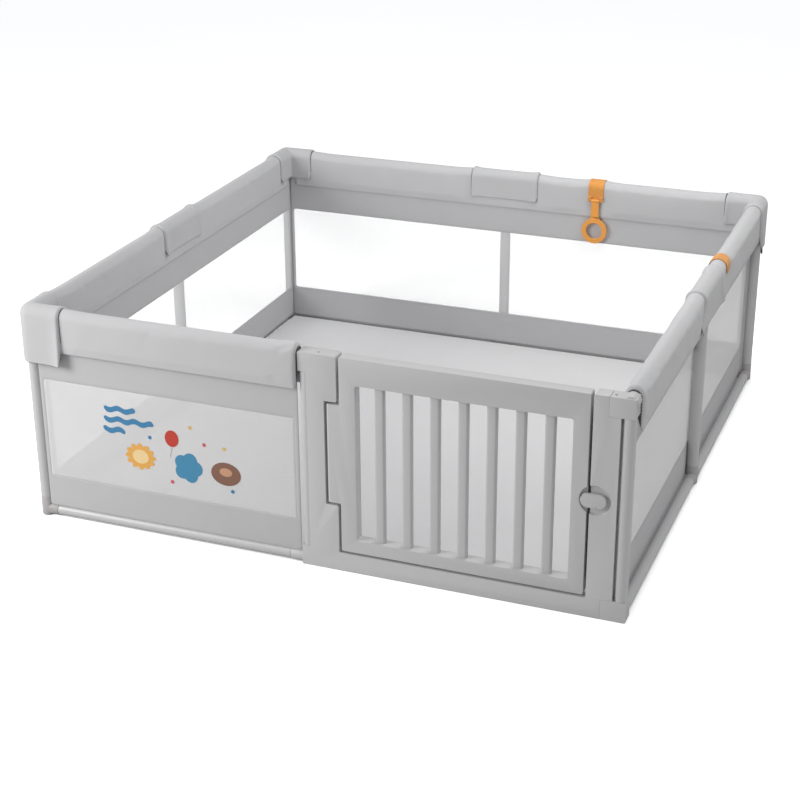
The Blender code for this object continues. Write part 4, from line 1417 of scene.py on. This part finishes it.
def neck_outline():
    """The neck between the ring and its barrel, widening into the ring in a fillet."""
    half = TAB_WIDTH / 2
    across = half + NECK_FILLET
    drop = math.sqrt((RING_OUTER + NECK_FILLET) ** 2 - across ** 2)
    angles = [math.atan2(-drop, across) * k / 8 for k in range(9)]
    flare = [
        (NECK_FILLET * math.cos(a) - across, drop - RING_DROP + NECK_FILLET * math.sin(a))
        for a in angles
    ]
    return [(-half, 0.0)] + flare + [(-x, z) for x, z in reversed(flare)] + [(half, 0.0)]


def make_ring(side, pivot):
    """A flat ring under a neck that widens into it, on a barrel bored for the strap's pin."""
    axis = SIDES[side][0]
    node_name = "pull_ring_" + side
    place = frame_at(pivot, axis, Z_AXIS)
    circles = [oval(0.0, -RING_DROP, r, r, steps=64) for r in (RING_OUTER, RING_INNER)]
    ring = plate(node_name + "_ring", circles, RING_DEPTH, place, RING_EDGE, 5)
    half, full = axis * TAB_WIDTH / 2, axis * TAB_WIDTH
    combine(ring, [
        plate("neck", [neck_outline()], TAB_DEPTH, place, NECK_EDGE),
        rod("barrel", pivot - half, pivot + half, BARREL_RADIUS, 0.0006),
    ], "UNION")
    combine(ring, [rod("bore", pivot - full, pivot + full, BARREL_BORE)], "DIFFERENCE")
    finish(ring, "ring_" + side, ORANGE_PLASTIC, [node_name], sharp=True)


def make_pull_rings():
    for side, pivot in (("back", RING_BACK), ("right", RING_RIGHT)):
        make_strap(side, pivot)
        make_ring(side, pivot)


# Sewing ------------------------------------------------------------------------

STITCH_LENGTH = 0.0032
STITCH_PITCH = 0.0052
STITCH_RADIUS = 0.00045
HEM_STITCH = 0.009
PAD_SEAM_INSET = 0.004
WALL_SEAM_INSET = 0.006
WINDOW_SEAMS = (WINDOW_LOW - 0.005, WINDOW_LOW - 0.009, WINDOW_HIGH + 0.005, WINDOW_HIGH + 0.009)


def stitch_row(bm, points):
    """Small stitches, pointed at both ends, along a line of points."""
    left_over = 0.0
    for start, end in zip(points, points[1:]):
        way, length = (end - start).normalized(), (end - start).length
        side = way.cross(Z_AXIS if abs(way.z) < 0.9 else X_AXIS).normalized() * STITCH_RADIUS
        up = way.cross(side)
        at = left_over
        while at < length:
            here = start + way * at
            ends = [bm.verts.new(here + way * STITCH_LENGTH * sign / 2) for sign in (-1, 1)]
            waist = [bm.verts.new(here + offset) for offset in (side, up, -side, -up)]
            for k in range(4):
                pair = waist[k], waist[(k + 1) % 4]
                bm.faces.new((ends[0], pair[1], pair[0]))
                bm.faces.new((ends[1], pair[0], pair[1]))
            at += STITCH_PITCH
        left_over = at - length


def sew(name, rows):
    bm = bmesh.new()
    for row in rows:
        stitch_row(bm, row)
    bmesh.ops.recalc_face_normals(bm, faces=bm.faces)
    finish(add_object(name, mesh_from(bm, name)), "pen", THREAD)


def sew_pad(side):
    """A row along each hem of a padded sleeve."""
    node_name = "rail_pad_" + side
    start, end = span_of(node_name, side)
    places = stations(start + PAD_SEAM_INSET, end - PAD_SEAM_INSET)
    half = half_width(node_name) - PAD_SHRINK
    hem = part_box(node_name)[0].z + HEM_STITCH
    sew(node_name + "_stitching", [
        [on_side(side, along, out, hem) for along in places] for out in (half, -half)
    ])


def sew_wall(side):
    """Two rows above and below a wall's window, on both its faces."""
    start, end = span_of("wall_" + side, side)
    places = stations(start + WALL_SEAM_INSET, end - WALL_SEAM_INSET)
    faces = [wall_out(side) + sign * BAND_THICKNESS / 2 for sign in (1, -1)]
    sew(f"wall_{side}_stitching", [
        [wall_point(side, along, z, out) for along in places]
        for z in WINDOW_SEAMS for out in faces
    ])


def make_stitching():
    for side in SIDES:
        sew_pad(side)
        sew_wall(side)


# Print -------------------------------------------------------------------------

INK_LIFT = 0.0007
INK_DEPTH = 0.0003
BAR_HALF = 0.0085
BAR_END_SHARE = 0.35
BAR_WAVE = 0.004
BAR_WAVELENGTH = 0.052
BLUE, LIGHT_BLUE = (0.06, 0.23, 0.42), (0.07, 0.27, 0.45)
RED, CRIMSON = (0.55, 0.06, 0.04), (0.60, 0.12, 0.14)
ORANGE, CREAM, YELLOW = (0.80, 0.42, 0.10), (0.88, 0.66, 0.34), (0.72, 0.50, 0.16)
BROWN, TAN, STRING_GREY = (0.25, 0.13, 0.09), (0.60, 0.33, 0.20), (0.25, 0.25, 0.26)


def oval(x, z, wide, tall, lobes=0, depth=0.0, steps=40):
    """The outline of an oval, scalloped if it has lobes."""
    outline = []
    for k in range(steps):
        a = 2 * math.pi * k / steps
        reach = 1 - depth * (1 - abs(math.cos(lobes * a / 2))) if lobes else 1.0
        outline.append((x + wide * reach * math.cos(a), z + tall * reach * math.sin(a)))
    return outline


def dot(x, z):
    return oval(x, z, 0.006, 0.006, steps=16)


def wavy_bar(x_start, x_end, z):
    """A bar that waves along its length and narrows at its two ends."""
    places = stations(x_start, x_end, 0.006)

    def edge(x, sign):
        half = BAR_HALF * (BAR_END_SHARE if x in (places[0], places[-1]) else 1)
        wave = BAR_WAVE * math.sin(2 * math.pi * x / BAR_WAVELENGTH)
        return (x, z + sign * half + wave)

    return [edge(x, -1) for x in places] + [edge(x, 1) for x in reversed(places)]


def ink(name, colour, *outlines, layer=0):
    """Printed shapes that lie on the front net and follow it; layer 1 lies on layer 0."""
    shapes = [plate("shape", [outline], INK_DEPTH, Matrix.Identity(4)) for outline in outlines]
    print_piece = join("print_" + name, shapes)
    net_out = wall_out("front")
    for point in print_piece.data.vertices:
        x, z, depth = point.co
        height = INK_LIFT + depth + INK_DEPTH * 1.2 * layer
        point.co = wall_point("front", x, z, net_out) - Y_AXIS * height
    surface = woven("ink_" + name, colour, NET_PITCH, sheen=0.05, roughness=0.6)
    finish(print_piece, "pen", surface, sharp=True)


def make_print():
    """A generic print: three wavy bars, a sun, a balloon, a cloud, a pebble and dots."""
    ink("bars", BLUE, wavy_bar(-0.655, -0.553, 0.386), wavy_bar(-0.658, -0.497, 0.353),
        wavy_bar(-0.662, -0.590, 0.320))
    ink("sun", ORANGE, oval(-0.545, 0.248, 0.050, 0.042, 12, 0.22, 96))
    ink("sun_middle", CREAM, oval(-0.545, 0.248, 0.026, 0.022), layer=1)
    ink("balloon", RED, oval(-0.440, 0.322, 0.022, 0.026))
    ink("string", STRING_GREY,
        [(-0.4405, 0.294), (-0.4395, 0.294), (-0.4475, 0.262), (-0.4485, 0.262)])
    ink("cloud", LIGHT_BLUE, oval(-0.392, 0.238, 0.046, 0.048, 5, 0.20, 80))
    ink("pebble", BROWN, oval(-0.272, 0.238, 0.047, 0.036))
    ink("pebble_patch", TAN, oval(-0.272, 0.244, 0.020, 0.013), layer=1)
    ink("blue_dots", BLUE, dot(-0.511, 0.314), dot(-0.253, 0.186))
    ink("yellow_dots", YELLOW, dot(-0.379, 0.366), dot(-0.274, 0.316))
    ink("red_dots", CRIMSON, dot(-0.337, 0.319), dot(-0.446, 0.184))


# Everything --------------------------------------------------------------------

NODE_SURFACES = {
    "moulded_plastic": PLASTIC, "painted_tube": PAINT, "bright_steel": STEEL,
    "ring_plastic": ORANGE_PLASTIC, "strap_webbing": WEBBING,
}


def dress_frame():
    """Materials for the frame's nodes that keep their own meshes."""
    slots = {row["node"]: row["material_slot"] for row in frame["record"]["subparts"]}
    for name, item in frame["nodes"].items():
        if not item.hide_render:
            item.material_slots[0].material = NODE_SURFACES.get(slots[name], OXFORD)


make_camera()
make_room()
make_lights()
make_floor()

make_tubes()
make_feet()
make_pads()
make_soft_covers()
make_walls()
make_mat()
make_mat_piping()
make_gate_frame()
make_door()
make_gate_blocks()
make_latch_lever()
make_latch_screw()
make_pull_rings()
make_stitching()
make_print()
dress_frame()
